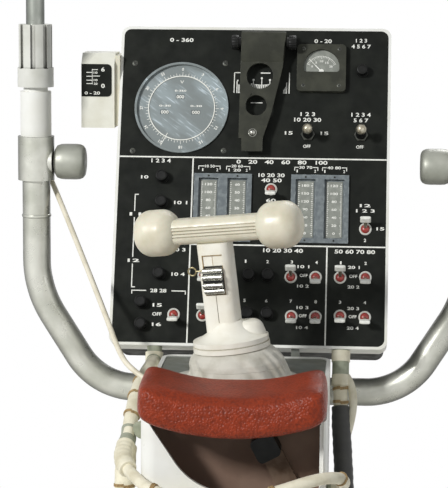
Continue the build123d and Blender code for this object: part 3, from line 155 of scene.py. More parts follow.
def tube(path, radius, sides=12, beside=(1.0, 0.0, 0.0)):
    """A closed tube round a path, one radius per point, framed by a direction that the path never takes."""
    path = np.asarray(path, float)
    along = np.gradient(path, axis=0)
    along /= np.linalg.norm(along, axis=1, keepdims=True)
    first = np.cross(along, beside)
    first /= np.linalg.norm(first, axis=1, keepdims=True)
    second = np.cross(along, first)
    path = np.concatenate([path[:1], path, path[-1:]])
    first = np.concatenate([first[:1], first, first[-1:]])
    second = np.concatenate([second[:1], second, second[-1:]])
    radius = np.broadcast_to(np.asarray(radius, float), len(path) - 2)
    radius = np.concatenate([[0], radius, [0]])[:, None, None]
    angle = full_turn(sides)[None, :, None]
    ring = np.cos(angle) * first[:, None, :] + np.sin(angle) * second[:, None, :]
    return (path[:, None, :] + radius * ring).reshape(-1, 3), grid_faces(len(path), sides)


def placed(shape, place):
    """The shape with its points sent through place, a function or a 4x4 matrix."""
    points, faces = shape
    if callable(place):
        return place(points), faces
    place = np.array(place)
    return points @ place[:3, :3].T + place[:3, 3], faces


def panel_place(u, v, out=PLATE_OUT, spin=0.0, tilt=0.0):
    """A function that stands a shape, in millimetres, on the panel.

    Its y is up the panel and its z points out. spin turns it on the panel and tilt leans its z towards the
    panel's top, in degrees.
    """
    turn = Matrix.Rotation(math.radians(spin), 3, "Z") @ Matrix.Rotation(math.radians(-tilt), 3, "X")
    turn = np.array(turn)

    def place(points):
        x, y, z = (points @ turn.T).T
        return on_panel(u + x, v - y, out + z)
    return place


def panel_strips(rows, out=PLATE_OUT, proud=0.12):
    """Thin printed bars on the panel, one per row of first and last u and v."""
    rows = np.asarray(rows, float)
    sides = np.stack([rows[:, 0], rows[:, 1], PANEL_TALL - rows[:, 3], PANEL_TALL - rows[:, 2],
                      np.full(len(rows), out - 0.05), np.full(len(rows), out + proud)], -1)
    points, faces = boxes(sides)
    return on_panel(points[:, 0], PANEL_TALL - points[:, 1], points[:, 2]), faces


def added(name, data):
    """A new object in the scene."""
    obj = bpy.data.objects.new(name, data)
    bpy.context.scene.collection.objects.link(obj)
    return obj


def piece(name, shapes, material, body="console", slot=None, replaces=(), solid=True, sharp=35):
    """One mesh object from several shapes, at the origin, riding a CAD body.

    A solid's doubles are merged and its faces turned outwards; lettering is flat and keeps its faces.
    The slot is the finish's own name where none is given.
    """
    slot = slot or material
    points, faces, first = [], [], 0
    for spots, corners in shapes:
        points.append(spots)
        faces += [[int(corner) + first for corner in face] for face in corners]
        first += len(spots)
    mesh = bpy.data.meshes.new(name)
    mesh.from_pydata(np.concatenate(points).tolist(), [], faces)
    if solid:
        shell = bmesh.new()
        shell.from_mesh(mesh)
        bmesh.ops.remove_doubles(shell, verts=shell.verts, dist=1e-6)
        bmesh.ops.recalc_face_normals(shell, faces=shell.faces)
        shell.to_mesh(mesh)
        shell.free()
    mesh.validate()
    mesh.shade_smooth()
    mesh.set_sharp_from_angle(angle=math.radians(sharp))
    mesh.materials.append(finish(material))
    obj = added(name, mesh)
    if body:
        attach(obj, body)
    if replaces:
        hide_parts(*replaces)
    return obj


def printed(name, shapes, solid=True, body="console"):
    """A piece of white print."""
    return piece(name, shapes, "print_white", body, "white_enamel", solid=solid)


def sideways(shape, way=1):
    """A turned shape laid down along x: its top points right, or left for a way of -1."""
    across = np.array(Matrix.Rotation(math.radians(90 * way), 3, "Y"))
    return shape[0] @ across.T, shape[1]


# How much the letters' strokes are fattened, as a share of their height
BOLD = 0.024


def flat_shape(curve):
    """Points and faces of a filled text or flat curve, which is then removed."""
    holder = bpy.data.objects.new("flat_shape", curve)
    mesh = bpy.data.meshes.new_from_object(holder)
    points = mesh_points(mesh)
    faces = [list(face.vertices) for face in mesh.polygons]
    bpy.data.objects.remove(holder)
    bpy.data.curves.remove(curve)
    bpy.data.meshes.remove(mesh)
    return points, faces


def cut_plate(outlines, thickness):
    """A flat plate standing on z 0 from closed outlines: the first is its rim, the others are holes."""
    curve = bpy.data.curves.new("cut_plate", "CURVE")
    curve.dimensions = "2D"
    curve.fill_mode = "BOTH"
    curve.extrude = thickness / 2
    for outline in outlines:
        corners = np.column_stack([outline, np.zeros(len(outline)), np.ones(len(outline))])
        spline = curve.splines.new("POLY")
        spline.points.add(len(outline) - 1)
        spline.points.foreach_set("co", corners.ravel())
        spline.use_cyclic_u = True
    points, faces = flat_shape(curve)
    return points + (0, 0, thickness / 2), faces


def arc_points(x, y, radius, first, last, count):
    """Corners along part of a circle, its angles in degrees from the x direction."""
    turn = np.radians(np.linspace(first, last, count))
    return np.stack([x + radius * np.cos(turn), y + radius * np.sin(turn)], -1)


def rounded_outline(width, height, radius):
    """A rectangle about the origin whose corners are quarter circles."""
    x, y = width / 2 - radius, height / 2 - radius
    corners = ((x, y, 0), (-x, y, 90), (-x, -y, 180), (x, -y, 270))
    return np.concatenate([arc_points(a, b, radius, first, first + 90, 7) for a, b, first in corners])


def soften(obj, width):
    """Rounds a piece's hard edges by width millimetres."""
    bevel = obj.modifiers.new("soft_edges", "BEVEL")
    bevel.width = width * MM
    bevel.segments = 3
    bevel.limit_method = "ANGLE"
    bevel.angle_limit = math.radians(40)


def lettering(rows, place):
    """Flat numerals: each row's text is stretched to its box of left, right, low and high, then placed."""
    shapes = []
    for text, left, right, low, high, extra in rows:
        curve = bpy.data.curves.new("lettering", "FONT")
        curve.body = text
        curve.resolution_u = 3
        curve.offset = BOLD
        points, faces = flat_shape(curve)
        least, most = points.min(0), points.max(0)
        points[:, 0] = left + (points[:, 0] - least[0]) / (most[0] - least[0]) * (right - left)
        points[:, 1] = low + (points[:, 1] - least[1]) / (most[1] - least[1]) * (high - low)
        shapes.append((place(points, extra), faces))
    return shapes


# Finishes

def srgb(code):
    """Linear red, green, blue and alpha from a hex colour."""
    parts = [int(code[i:i + 2], 16) / 255 for i in (1, 3, 5)]
    return (*[part / 12.92 if part <= 0.04045 else ((part + 0.055) / 1.055) ** 2.4 for part in parts], 1.0)


def feed(tree, target, inputs):
    """Gives each named input of a node a value, or a link from a socket or from a node's first output."""
    for key, value in inputs.items():
        if isinstance(value, bpy.types.Node):
            value = value.outputs[0]
        if isinstance(value, bpy.types.NodeSocket):
            tree.links.new(value, target.inputs[key])
        else:
            target.inputs[key].default_value = value


def node(tree, kind, inputs=None, **settings):
    """Adds a shader node with its properties and its inputs."""
    new = tree.nodes.new("ShaderNode" + kind)
    for key, value in settings.items():
        setattr(new, key, value)
    feed(tree, new, inputs or {})
    return new


def blank(name, roughness=0.5, **sockets):
    """A new material with its shader's constant sockets set."""
    material = bpy.data.materials.new("finish_" + name)
    material.use_nodes = True
    tree = material.node_tree
    shader = tree.nodes["Principled BSDF"]
    sockets = {key.replace("_", " "): value for key, value in sockets.items()}
    feed(tree, shader, {"Roughness": roughness, **sockets})
    return tree, shader


def finish(name):
    """A made material; the packed model has plain ones under the bare names."""
    return bpy.data.materials["finish_" + name]


def mottle(tree, place, size, low, high, detail=4.0, stretch=(1, 1, 1)):
    """A noise of patches about size millimetres across, turned into a mask between two levels."""
    mapped = node(tree, "Mapping", {"Vector": place, "Scale": stretch})
    noise = node(tree, "TexNoise", {"Vector": mapped, "Scale": 1000 / size, "Detail": detail})
    return node(tree, "MapRange", {"Value": noise, "From Min": low, "From Max": high})


def mottle_range(tree, place, size, low, high):
    """The same patches as a value between low and high."""
    patches = mottle(tree, place, size, 0.35, 0.7)
    return node(tree, "MapRange", {"Value": patches, "To Min": low, "To Max": high})


def mixed(tree, mask, under, over):
    """Two colours, hex or linked, mixed by a mask."""
    ends = [srgb(end) if isinstance(end, str) else end for end in (under, over)]
    return node(tree, "Mix", {0: mask, 6: ends[0], 7: ends[1]}, data_type="RGBA").outputs[2]


def edge_mask(tree, width):
    """1 near an edge, within about width millimetres, broken by patches: where a bevel turns the surface."""
    bevel = node(tree, "Bevel", {"Radius": width * MM}, samples=4)
    normal = node(tree, "NewGeometry").outputs["Normal"]
    turned_by = node(tree, "VectorMath", {0: bevel, 1: normal}, operation="DOT_PRODUCT").outputs["Value"]
    edge = node(tree, "MapRange", {"Value": turned_by, "From Min": 0.97, "From Max": 0.85})
    place = node(tree, "TexCoord").outputs["Object"]
    return node(tree, "Math", {0: edge, 1: mottle(tree, place, 6, 0.5, 0.62)}, operation="MULTIPLY")


def coated(name, colour, patch, patch_size, roughness, spread=0.12, grain=0.4, depth=0.02,
           worn=None, wear=0.6, grime=None, hollow=1.2, turned_away=None, **sockets):
    """A finish with patches of a second tone, uneven gloss, a fine grain, worn edges and grime in hollows.

    turned_away is the tone of the metal where it curves out of sight, as oxidised tube looks.
    """
    tree, shader = blank(name, roughness, **sockets)
    place = node(tree, "TexCoord").outputs["Object"]
    patches = mottle(tree, place, patch_size, 0.42, 0.66)
    base = mixed(tree, patches, colour, patch)
    if worn:
        base = mixed(tree, edge_mask(tree, wear), base, worn)
    # painted shade: the metal darkens towards edges that turn away from view
    if turned_away:
        curving = node(tree, "LayerWeight", {"Blend": 0.5}).outputs["Facing"]
        grazing_mask = node(tree, "MapRange", {"Value": curving, "From Min": 0.15, "From Max": 0.8})
        base = mixed(tree, grazing_mask, base, turned_away)
    # painted shade: the colour darkens in hollows, where ambient occlusion finds little open air
    if grime:
        open_air = node(tree, "AmbientOcclusion", {"Distance": hollow * MM}, samples=6, only_local=True)
        open_air = open_air.outputs["AO"]
        closed = node(tree, "MapRange", {"Value": open_air, "From Min": 0.78, "From Max": 0.3})
        base = mixed(tree, closed, base, grime)
    gloss = mottle(tree, place, patch_size * 0.45, 0.3, 0.7)
    level = node(tree, "MapRange",
                 {"Value": gloss, "To Min": roughness - spread, "To Max": roughness + spread})
    fine = node(tree, "TexNoise", {"Vector": place, "Scale": 1000 / grain, "Detail": 2.0})
    bump = node(tree, "Bump", {"Height": fine, "Distance": depth * MM, "Strength": 0.6})
    feed(tree, shader, {"Base Color": base, "Roughness": level, "Normal": bump})


# Name, colour, patch colour, patch size, roughness and what else sets the finish apart
FINISHES = (
    # baked enamel on sheet metal: bright and satin, faintly yellowed, chipped to grey along its edges
    ("white_enamel", "#E6E6E0", "#DBDACF", 60, 0.38,
     {"grain": 1.6, "depth": 0.03, "worn": "#9A9A92", "wear": 0.5}),
    # zinc primer under thin paint: dull green grey with lighter rubbed patches
    ("grey_enamel", "#6C6E64", "#7B7F7A", 35, 0.42, {"grain": 1.2, "depth": 0.03, "worn": "#A3A59B"}),
    # spattered charcoal paint: dark, matt and slightly pebbled
    ("case_grey", "#22231D", "#2B2C25", 30, 0.6,
     {"grain": 1.4, "depth": 0.09, "worn": "#5C5C52", "Specular_IOR_Level": 0.2}),
    # engraved panel in flat black paint: nearly black with dusty patches
    ("panel_black", "#171916", "#20221E", 22, 0.62,
     {"grain": 0.9, "depth": 0.04, "Specular_IOR_Level": 0.1}),
    # painted bay wall under the arm pad: brown grey and matt, a colour that paints the shade falling in the
    # bay
    ("liner_brown", "#7E6759", "#8A7364", 40, 0.75,
     {"grain": 1.0, "depth": 0.05, "Specular_IOR_Level": 0.2}),
    # moulded phenolic: black with a soft shine and greyed high spots
    ("black_plastic", "#0A0B0A", "#121311", 8, 0.45,
     {"grain": 0.7, "depth": 0.015, "worn": "#30312E", "wear": 0.3, "Specular_IOR_Level": 0.2}),
    # brass flakes left on cast knobs: warm dull metal under handling dirt
    ("toggle_metal", "#B9B4A4", "#8E8672", 6, 0.34, {"Metallic": 0.85, "grain": 0.6, "depth": 0.01}),
    # cast resin, hand polished: warm cream with a soft shine and painted shade in its hollows
    ("cream_plastic", "#D9D3BE", "#CCC5AD", 18, 0.4,
     {"grain": 2.2, "depth": 0.05, "grime": "#8C8266", "hollow": 1.6, "Subsurface_Weight": 0.05}),
    # the same resin painted lighter where the light falls full on the post, a lit copy of the cream: nearly
    # white, with painted shade in its hollows
    ("post_lit_cream", "#ECE9DC", "#E1DCCB", 22, 0.42,
     {"grain": 2.2, "depth": 0.04, "grime": "#8C8266", "hollow": 1.2}),
    # enamelled sheet box: warm white, satin, faintly soiled
    ("box_ivory", "#E4E3D6", "#D9D7C7", 26, 0.42, {"grain": 2.0, "depth": 0.03}),
    # flat black paint rubbed by gloves: dusty charcoal
    ("flap_charcoal", "#32332C", "#3E3F36", 14, 0.6,
     {"grain": 0.9, "depth": 0.05, "worn": "#7A7A70", "wear": 0.5, "Specular_IOR_Level": 0.15}),
    # extruded aluminium, etched and anodised: pale satin grey, drawn along the tube, with painted shade
    # along edges that turn from view
    ("tube_aluminium", "#D2D2C8", "#B9BAAE", 30, 0.34,
     {"Metallic": 0.45, "grain": 0.7, "depth": 0.03, "turned_away": "#50514A"}),
    # bead blasted aluminium: even, silky and slightly warm, with painted shade along edges that turn from
    # view
    ("knob_grey", "#A8A99E", "#9A9C90", 20, 0.42,
     {"Metallic": 0.3, "grain": 0.5, "depth": 0.03, "turned_away": "#6E6F66"}),
    # painted casting: off white, smooth, scuffed at its rims, with painted shade deep in its flutes
    ("collar_white", "#D3D3CB", "#C6C6BC", 22, 0.42,
     {"grain": 1.0, "depth": 0.02, "worn": "#8F9087", "wear": 0.4, "grime": "#3A3831", "hollow": 8.0}),
    # drawn aluminium, dull anodised: cool grey, with painted shade along edges that turn from view
    ("mast_grey", "#9A9D96", "#868A82", 30, 0.38,
     {"Metallic": 0.5, "grain": 0.5, "depth": 0.02, "turned_away": "#3E423F"}),
    # machined steel, oiled: bright grey with darker streaks
    ("gimbal_steel", "#8B8C8A", "#6F706D", 12, 0.3, {"Metallic": 1.0, "grain": 0.6, "depth": 0.02}),
    # chrome plate, worn and fingermarked: bright metal with soft reflections
    ("slider_chrome", "#A3A39C", "#7A7A74", 5, 0.26,
     {"Metallic": 1.0, "spread": 0.05, "grain": 0.4, "depth": 0.001}),
    # drawn brass wire, tarnished: dull gold
    ("ring_brass", "#A59A78", "#7F7452", 4, 0.34, {"Metallic": 0.7, "grain": 0.6, "depth": 0.01}),
    # zinc chromate moulding: pale green grey rubber boot
    ("connector_green", "#A1A590", "#8B907C", 8, 0.6, {"grain": 0.7, "depth": 0.05}),
    # meter frame, painted moulding: blue grey, satin, rubbed pale at its corners
    ("meter_blue", "#666D70", "#7C8384", 5, 0.42,
     {"grain": 0.8, "depth": 0.02, "worn": "#C6CDCD", "wear": 0.8, "Specular_IOR_Level": 0.25}),
    # meter scale behind its window: soft mid grey card
    ("meter_card", "#7F827A", "#90938A", 7, 0.6, {"grain": 0.6, "depth": 0.01}),
    # toggle bodies: signal red lacquer, glossy, a little faded
    ("signal_red", "#8E2A24", "#A33B30", 3, 0.3, {"grain": 0.6, "depth": 0.01}),
    # screen printed paint: flat warm white, slightly thin in places
    ("print_white", "#EEEEE6", "#DCDCD2", 3, 0.55, {"grain": 0.4, "depth": 0.01}),
    # waxed lacing cord: tan, dull
    ("lacing_tan", "#A58A5E", "#87704A", 3, 0.7, {"grain": 0.5, "depth": 0.05}),
    # woven nylon strap: lighter brown, matt
    ("strap_brown", "#7E6A5A", "#6B5748", 9, 0.8, {"grain": 0.9, "depth": 0.12, "Specular_IOR_Level": 0.2}),
    # cadmium plated screws: dull dark metal
    ("screw_dark", "#3B3C38", "#565850", 3, 0.42, {"Metallic": 0.6, "grain": 0.5, "depth": 0.01}),
)


def dial_foil():
    """Etched aluminium dial under varnish: silver grey, bluish patches, long slanting scratches."""
    tree, shader = blank("dial_silver", 0.5, Specular_IOR_Level=0.25)
    place = node(tree, "TexCoord").outputs["Object"]
    slant = node(tree, "Mapping", {"Vector": place, "Rotation": (0, math.radians(55), 0)})
    scratches = mottle(tree, slant, 1.6, 0.56, 0.66, 3.0, (1, 0.3, 0.07))
    cloudy = mottle(tree, slant, 26, 0.45, 0.62, 3.0, (1, 0.6, 0.35))
    streaks = node(tree, "Math", {0: scratches, 1: cloudy}, operation="MULTIPLY")
    base = mixed(tree, cloudy, "#7E8584", "#98A3A5")
    base = mixed(tree, streaks, base, "#CCD8DE")
    level = node(tree, "MapRange", {"Value": scratches, "To Min": 0.34, "To Max": 0.55})
    bump = node(tree, "Bump", {"Height": scratches, "Distance": 0.02 * MM, "Strength": 0.5})
    feed(tree, shader, {"Base Color": base, "Roughness": level, "Normal": bump})


# Real width of one pebble of the leatherette
PEBBLE = 1.9


def red_leather():
    """Moulded leatherette: pebbles about 2 mm across, worn dull and brown on top, glossy and red below."""
    tree, shader = blank("red_leather", 0.44, Specular_IOR_Level=0.2, Coat_Roughness=0.34)
    place = node(tree, "TexCoord").outputs["Object"]
    facing = node(tree, "SeparateXYZ", {0: node(tree, "NewGeometry").outputs["Normal"]}).outputs["Z"]
    top = node(tree, "MapRange", {"Value": facing, "From Min": 0.6, "From Max": 0.92})
    leather = tuple(bpy.context.scene.console_colours.leather)
    red = node(tree, "HueSaturation", {"Color": leather, "Value": mottle_range(tree, place, 9, 0.72, 1.05)})
    worn = node(tree, "HueSaturation",
                {"Color": leather, "Value": mottle_range(tree, place, 22, 0.62, 0.92)})
    base = mixed(tree, top, red, worn)
    pebbles = node(tree, "TexVoronoi", {"Vector": place, "Scale": 1000 / PEBBLE}, feature="SMOOTH_F1")
    # painted shade: the colour darkens in the creases between the pebbles
    creases = node(tree, "MapRange",
                   {"Value": pebbles.outputs["Distance"], "From Min": 0.35, "From Max": 0.75})
    dark = node(tree, "Math", {0: creases, 1: 0.45}, operation="MULTIPLY")
    base = mixed(tree, dark, base, "#4A1408")
    coat = node(tree, "MapRange", {"Value": top, "To Min": 0.12, "To Max": 0.02})
    depth = node(tree, "MapRange", {"Value": top, "To Min": 0.75, "To Max": 0.2})
    broad = node(tree, "TexNoise", {"Vector": place, "Scale": 1000 / 5, "Detail": 3.0})
    height = node(tree, "Math", {0: broad, 1: pebbles.outputs["Distance"]}, operation="SUBTRACT")
    bump = node(tree, "Bump", {"Height": height, "Distance": 1.3 * MM, "Strength": depth})
    feed(tree, shader, {"Base Color": base, "Coat Weight": coat, "Normal": bump, "Coat Normal": bump})


def woven(name, colour, shade, thread, roughness, sheen, crumple=9.0, crumple_depth=0.5):
    """Coated cloth: threads as two crossed waves on the piece's own map, over soft crumples."""
    tree, shader = blank(name, roughness, Sheen_Weight=sheen, Sheen_Roughness=0.5)
    coordinates = node(tree, "TexCoord")
    place, along = coordinates.outputs["Object"], coordinates.outputs["UV"]
    warp = node(tree, "TexWave", {"Vector": along, "Scale": 50 / thread}, bands_direction="X")
    weft = node(tree, "TexWave", {"Vector": along, "Scale": 50 / thread}, bands_direction="Y")
    threads = node(tree, "Math", {0: warp.outputs["Fac"], 1: weft.outputs["Fac"]}, operation="ADD")
    base = mixed(tree, mottle(tree, place, 14, 0.4, 0.68), colour, shade)
    soft = node(tree, "TexNoise", {"Vector": place, "Scale": 1000 / crumple, "Detail": 3.0})
    bump = node(tree, "Bump", {"Height": soft, "Distance": crumple_depth * MM, "Strength": 0.7})
    fine = node(tree, "Bump", {"Height": threads, "Distance": 0.04 * MM, "Strength": 0.5, "Normal": bump})
    feed(tree, shader, {"Base Color": base, "Normal": fine})


def make_finishes():
    """Makes every material."""
    for name, colour, patch, size, roughness, extra in FINISHES:
        coated(name, colour, patch, size, roughness, **extra)
    dial_foil()
    red_leather()
    # neoprene coated nylon, gathered by hand: grey white, matt, softly creased
    woven("boot_cloth", "#C9C6BA", "#B4B0A2", 0.7, 0.7, 0.1, 16.0, 1.2)
    # glass cloth sleeve over wires: cream, matt, grimy in patches
    woven("harness_tape", "#E5DFC8", "#CFC7AC", 0.9, 0.66, 0.15, 7.0, 0.35)
    # silicone treated sleeve: green grey, matt
    woven("harness_green", "#9DA08E", "#868A79", 0.9, 0.66, 0.1, 7.0, 0.35)
    # black braided sleeve: dull with a faint sheen
    woven("harness_black", "#1B1B18", "#282823", 0.9, 0.62, 0.2, 7.0, 0.3)
    # extruded vinyl insulation: ivory, smooth, soft shine
    woven("cable_ivory", "#E4DDC9", "#D3CBB4", 2.0, 0.45, 0.0, 12.0, 0.1)


# painted light: the arm tray wears the dark case paint as painted shade under the pad, and the post a
# lighter cream that paints the light falling on it
NODE_FINISH = {"stick_post": "post_lit_cream", "armrest_tray": "case_grey", "pitch_indicator": "box_ivory"}
SLOT_FINISH = {
    "boot_cloth": "boot_cloth", "harness_tape": "harness_tape", "cable_white": "cable_ivory",
    "meter_grey": "meter_blue", "dial_silver": "dial_silver", "red_leather": "red_leather",
}


def dress_frame():
    """Gives each CAD node its finish."""
    for part in frame["record"]["subparts"]:
        solid = frame["nodes"][part["node"]]
        slot = part["material_slot"]
        solid.data.materials.clear()
        look = NODE_FINISH.get(part["node"], SLOT_FINISH.get(slot, slot))
        solid.data.materials.append(finish(look))


# Camera, lamps, floor and backdrop

FLOOR_RADIUS = 1.1
AMBIENT = 0.34
# the camera: its place in metres, how far it looks down, left and tilted in degrees, focal length in pixels
CAMERA_PLACE = (0.1101, -1.9269, 0.8988)
CAMERA_TURN = (8.5, -3.9, 0.4)
CAMERA_LENGTH = 2000
PHOTO_WIDTH = 448
# name, place, aim, size in metres, watts
LAMPS = (
    ("key", (-1.7, -2.1, 1.9), (0.0, 0.05, 0.6), 0.4, 75),
    ("fill", (1.9, -1.5, 1.3), (0.0, 0.0, 0.6), 1.6, 7),
    ("rim", (0.6, 1.8, 2.1), (0.0, 0.0, 0.7), 1.0, 20),
)


def set_camera():
    """Sets the photograph's viewing angle."""
    data = bpy.data.cameras.new("camera")
    data.sensor_width = 36
    data.sensor_fit = "HORIZONTAL"
    data.lens = data.sensor_width * CAMERA_LENGTH / PHOTO_WIDTH
    camera = added("camera", data)
    pitch, yaw, roll = (math.radians(angle) for angle in CAMERA_TURN)
    forward = Vector((math.sin(yaw) * math.cos(pitch), math.cos(yaw) * math.cos(pitch), -math.sin(pitch)))
    right = Vector((math.cos(yaw), -math.sin(yaw), 0))
    up = right.cross(forward)
    across = math.cos(roll) * right + math.sin(roll) * up
    upward = -math.sin(roll) * right + math.cos(roll) * up
    place = Matrix((across, upward, -forward)).transposed().to_4x4()
    place.translation = Vector(CAMERA_PLACE)
    camera.matrix_world = place
    bpy.context.scene.camera = camera


def set_stage():
    """Sets the lamps, the floor and the backdrop."""
    for name, place, aim, size, power in LAMPS:
        data = bpy.data.lights.new(name, "AREA")
        data.size = size
        data.energy = power
        lamp = added(name, data)
        lamp.location = place
        lamp.rotation_euler = (Vector(aim) - Vector(place)).to_track_quat("-Z", "Y").to_euler()
    mesh = bpy.data.meshes.new("floor")
    corners = arc_points(0, 0, FLOOR_RADIUS, 0, 360, 97)[:-1]
    mesh.from_pydata([(x, y, 0) for x, y in corners], [], [tuple(range(len(corners)))])
    floor = added("floor", mesh)
    # poured floor: pale, matt, faintly clouded
    coated("floor_pale", "#F1EFEA", "#E9E6DF", 300, 0.7, grain=4, depth=0.05)
    mesh.materials.append(finish("floor_pale"))
    world = bpy.data.worlds.new("studio")
    bpy.context.scene.world = world
    world.use_nodes = True
    tree = world.node_tree
    tree.nodes.clear()
    rays = node(tree, "LightPath")
    seen = rays.outputs["Is Camera Ray"]
    for ray in ("Is Transmission Ray", "Is Glossy Ray"):
        seen = node(tree, "Math", {0: seen, 1: rays.outputs[ray]}, operation="MAXIMUM")
    colour = tuple(bpy.context.scene.console_colours.backdrop)
    backdrop = node(tree, "Background", {"Color": colour, "Strength": 1.0})
    ambient = node(tree, "Background", {"Color": srgb("#E6EAF0"), "Strength": AMBIENT})
    mix = node(tree, "MixShader", {0: seen, 1: ambient, 2: backdrop})
    node(tree, "OutputWorld", {"Surface": mix})
    bpy.context.scene.view_settings.view_transform = "Standard"


# Cords

LEFT_ROUTE = (
    (-94, 33, 484.5), (-94, 15, 484.5), (-96, -9, 483), (-99.5, -35, 477), (-101.5, -63, 468),
    (-102.5, -91, 453.5), (-103.5, -113, 432), (-104, -126, 405), (-104, -127.5, 374), (-103.5, -119, 338),
    (-102, -106, 299), (-98.5, -90, 257), (-92.5, -74, 212), (-87, -60, 166), (-82, -50, 120),
    (-80, -45, 78), (-80, -45, 34),
)
RIGHT_ROUTE = (
    (94, 35, 464), (94.5, 28.5, 447), (96, 19, 421), (98.5, 7, 389), (101, -6, 351), (101.5, -16, 311),
    (99, -25, 266), (93.5, -33.5, 215), (87, -40.5, 160), (81.5, -44.5, 106), (80, -45, 66), (80, -45, 34),
)
SWAG_ROUTE = (
    (-102, -103, 447.5), (-103, -112, 441), (-104, -125, 435), (-104, -139, 430), (-100, -154, 426),
    (-92, -169, 422.5), (-83, -184, 419), (-70.5, -197, 415), (-51.5, -206.5, 412.5), (-27, -212.5, 411),
    (1, -214.5, 412), (28, -213.5, 417), (50, -210, 423.5), (68.5, -203.5, 428.5), (84, -194, 430),
    (95.5, -181.5, 427), (101, -167, 420.5), (100, -153.5, 412.5), (92.5, -142, 407),
)
CABLE_ROUTE = (
    (-215.7, 127, 667.2), (-203, 112, 645.5), (-138, 3, 537), (-122, -27, 507.5), (-109, -45, 494),
    (-92, -52, 485),
)
# name, route, diameter, length, finish, stiffness, lay
CORDS = (
    ("harness_left", LEFT_ROUTE, 14.0, 552, "harness_tape", "stiff", "hanging"),
    ("harness_right", RIGHT_ROUTE, 14.0, 442, "harness_tape", "stiff", "hanging"),
    ("harness_swag", SWAG_ROUTE, 11.0, 334, "harness_tape", "medium", "hanging"),
    ("antenna_cable", CABLE_ROUTE, 5.4, 287, "cable_ivory", "medium", "taut"),
)
# cord, first and last part of its length, radius at both ends and in the middle, finish, side direction
SLEEVES = (
    ("harness_left", 0.24, 0.285, 7.2, 7.8, "harness_green", (1, 0, 0)),
    ("harness_left", 0.275, 0.86, 9.0, 9.6, "harness_tape", (1, 0, 0)),
    ("harness_right", 0.05, 0.85, 8.8, 9.4, "harness_black", (1, 0, 0)),
    ("harness_swag", 0.03, 0.065, 6.6, 8.6, "harness_green", (1, 0, 0)),
    ("harness_swag", 0.06, 0.19, 8.6, 8.8, "harness_tape", (1, 0, 0)),
)
# cord, how far down the connector boot it starts, where on the cord it ends, how far it stands off, radius
BRANCHES = (("harness_right", 22.0, 0.15, 12.0, 4.0),)
# Cream sleeves over the connector boots: side, first and last distance down the boot, radius
BOOT_RINGS = ((1, 1, 12, 9.3), (1, 25, 36, 8.8), (-1, 6, 15, 9.0))
BOOT_TOP = (94.0, 47.5, 497.2)
TIE_RADIUS = 0.75
# cord, part of its length, turns, side direction, radius
TIES = (
    ("harness_left", 0.12, 2, (1, 0, 0), 7.5), ("harness_left", 0.165, 2, (1, 0, 0), 7.5),
    ("harness_left", 0.215, 2, (1, 0, 0), 7.5), ("harness_left", 0.34, 2, (1, 0, 0), 9.9),
    ("harness_left", 0.43, 3, (1, 0, 0), 9.9), ("harness_left", 0.55, 3, (1, 0, 0), 9.9),
    ("harness_left", 0.67, 3, (1, 0, 0), 9.9), ("harness_right", 0.008, 2, (1, 0, 0), 7.5),
    ("harness_right", 0.038, 2, (1, 0, 0), 7.5), ("harness_right", 0.3, 3, (1, 0, 0), 9.8),
    ("harness_right", 0.5, 3, (1, 0, 0), 9.8), ("harness_swag", 0.12, 2, (0, 0, 1), 6.0),
    ("harness_swag", 0.33, 3, (0, 0, 1), 6.0), ("harness_swag", 0.66, 3, (0, 0, 1), 6.0),
    ("harness_swag", 0.88, 2, (0, 0, 1), 6.0),
)


def centre_line(cord, count=400):
    """Evenly spaced points along a cord's spline, in metres, read from the spline with no thickness."""
    bevel = cord.data.bevel_depth
    cord.data.bevel_depth = 0
    mesh = bpy.data.meshes.new_from_object(cord)
    cord.data.bevel_depth = bevel
    points = np.empty(len(mesh.vertices) * 3)
    mesh.vertices.foreach_get("co", points)
    bpy.data.meshes.remove(mesh)
    points = points.reshape(-1, 3)
    reach = np.concatenate([[0], np.cumsum(np.linalg.norm(np.diff(points, axis=0), axis=1))])
    even = np.linspace(0, reach[-1], count)
    return np.stack([np.interp(even, reach, points[:, axis]) for axis in range(3)], -1)


def index_at(line, part):
    """The index of the point that lies a given part of the way along a line."""
    return int(part * (len(line) - 1))


def tie_shape(line, part, turns, beside, radius):
    """A thin lacing wound round a cord: a helix of the given turns, drawn up at a small slanting knot."""
    index = index_at(line, part)
    centre = line[index]
    along = line[min(index + 2, len(line) - 1)] - line[max(index - 2, 0)]
    along /= np.linalg.norm(along)
    first = np.cross(along, beside)
    first /= np.linalg.norm(first)
    second = np.cross(along, first)
    angle = np.linspace(0, 2 * math.pi * turns, 24 * turns + 1)
    swell = radius * MM * (1 + 0.02 * np.sin(3 * angle))
    slide = (angle / (2 * math.pi) - turns / 2) * 1.5 * MM + 1.2 * MM * np.sin(angle + part * 40)
    ring = np.cos(angle)[:, None] * first + np.sin(angle)[:, None] * second
    return tube(centre + swell[:, None] * ring + slide[:, None] * along, TIE_RADIUS * MM, 6, tuple(along))


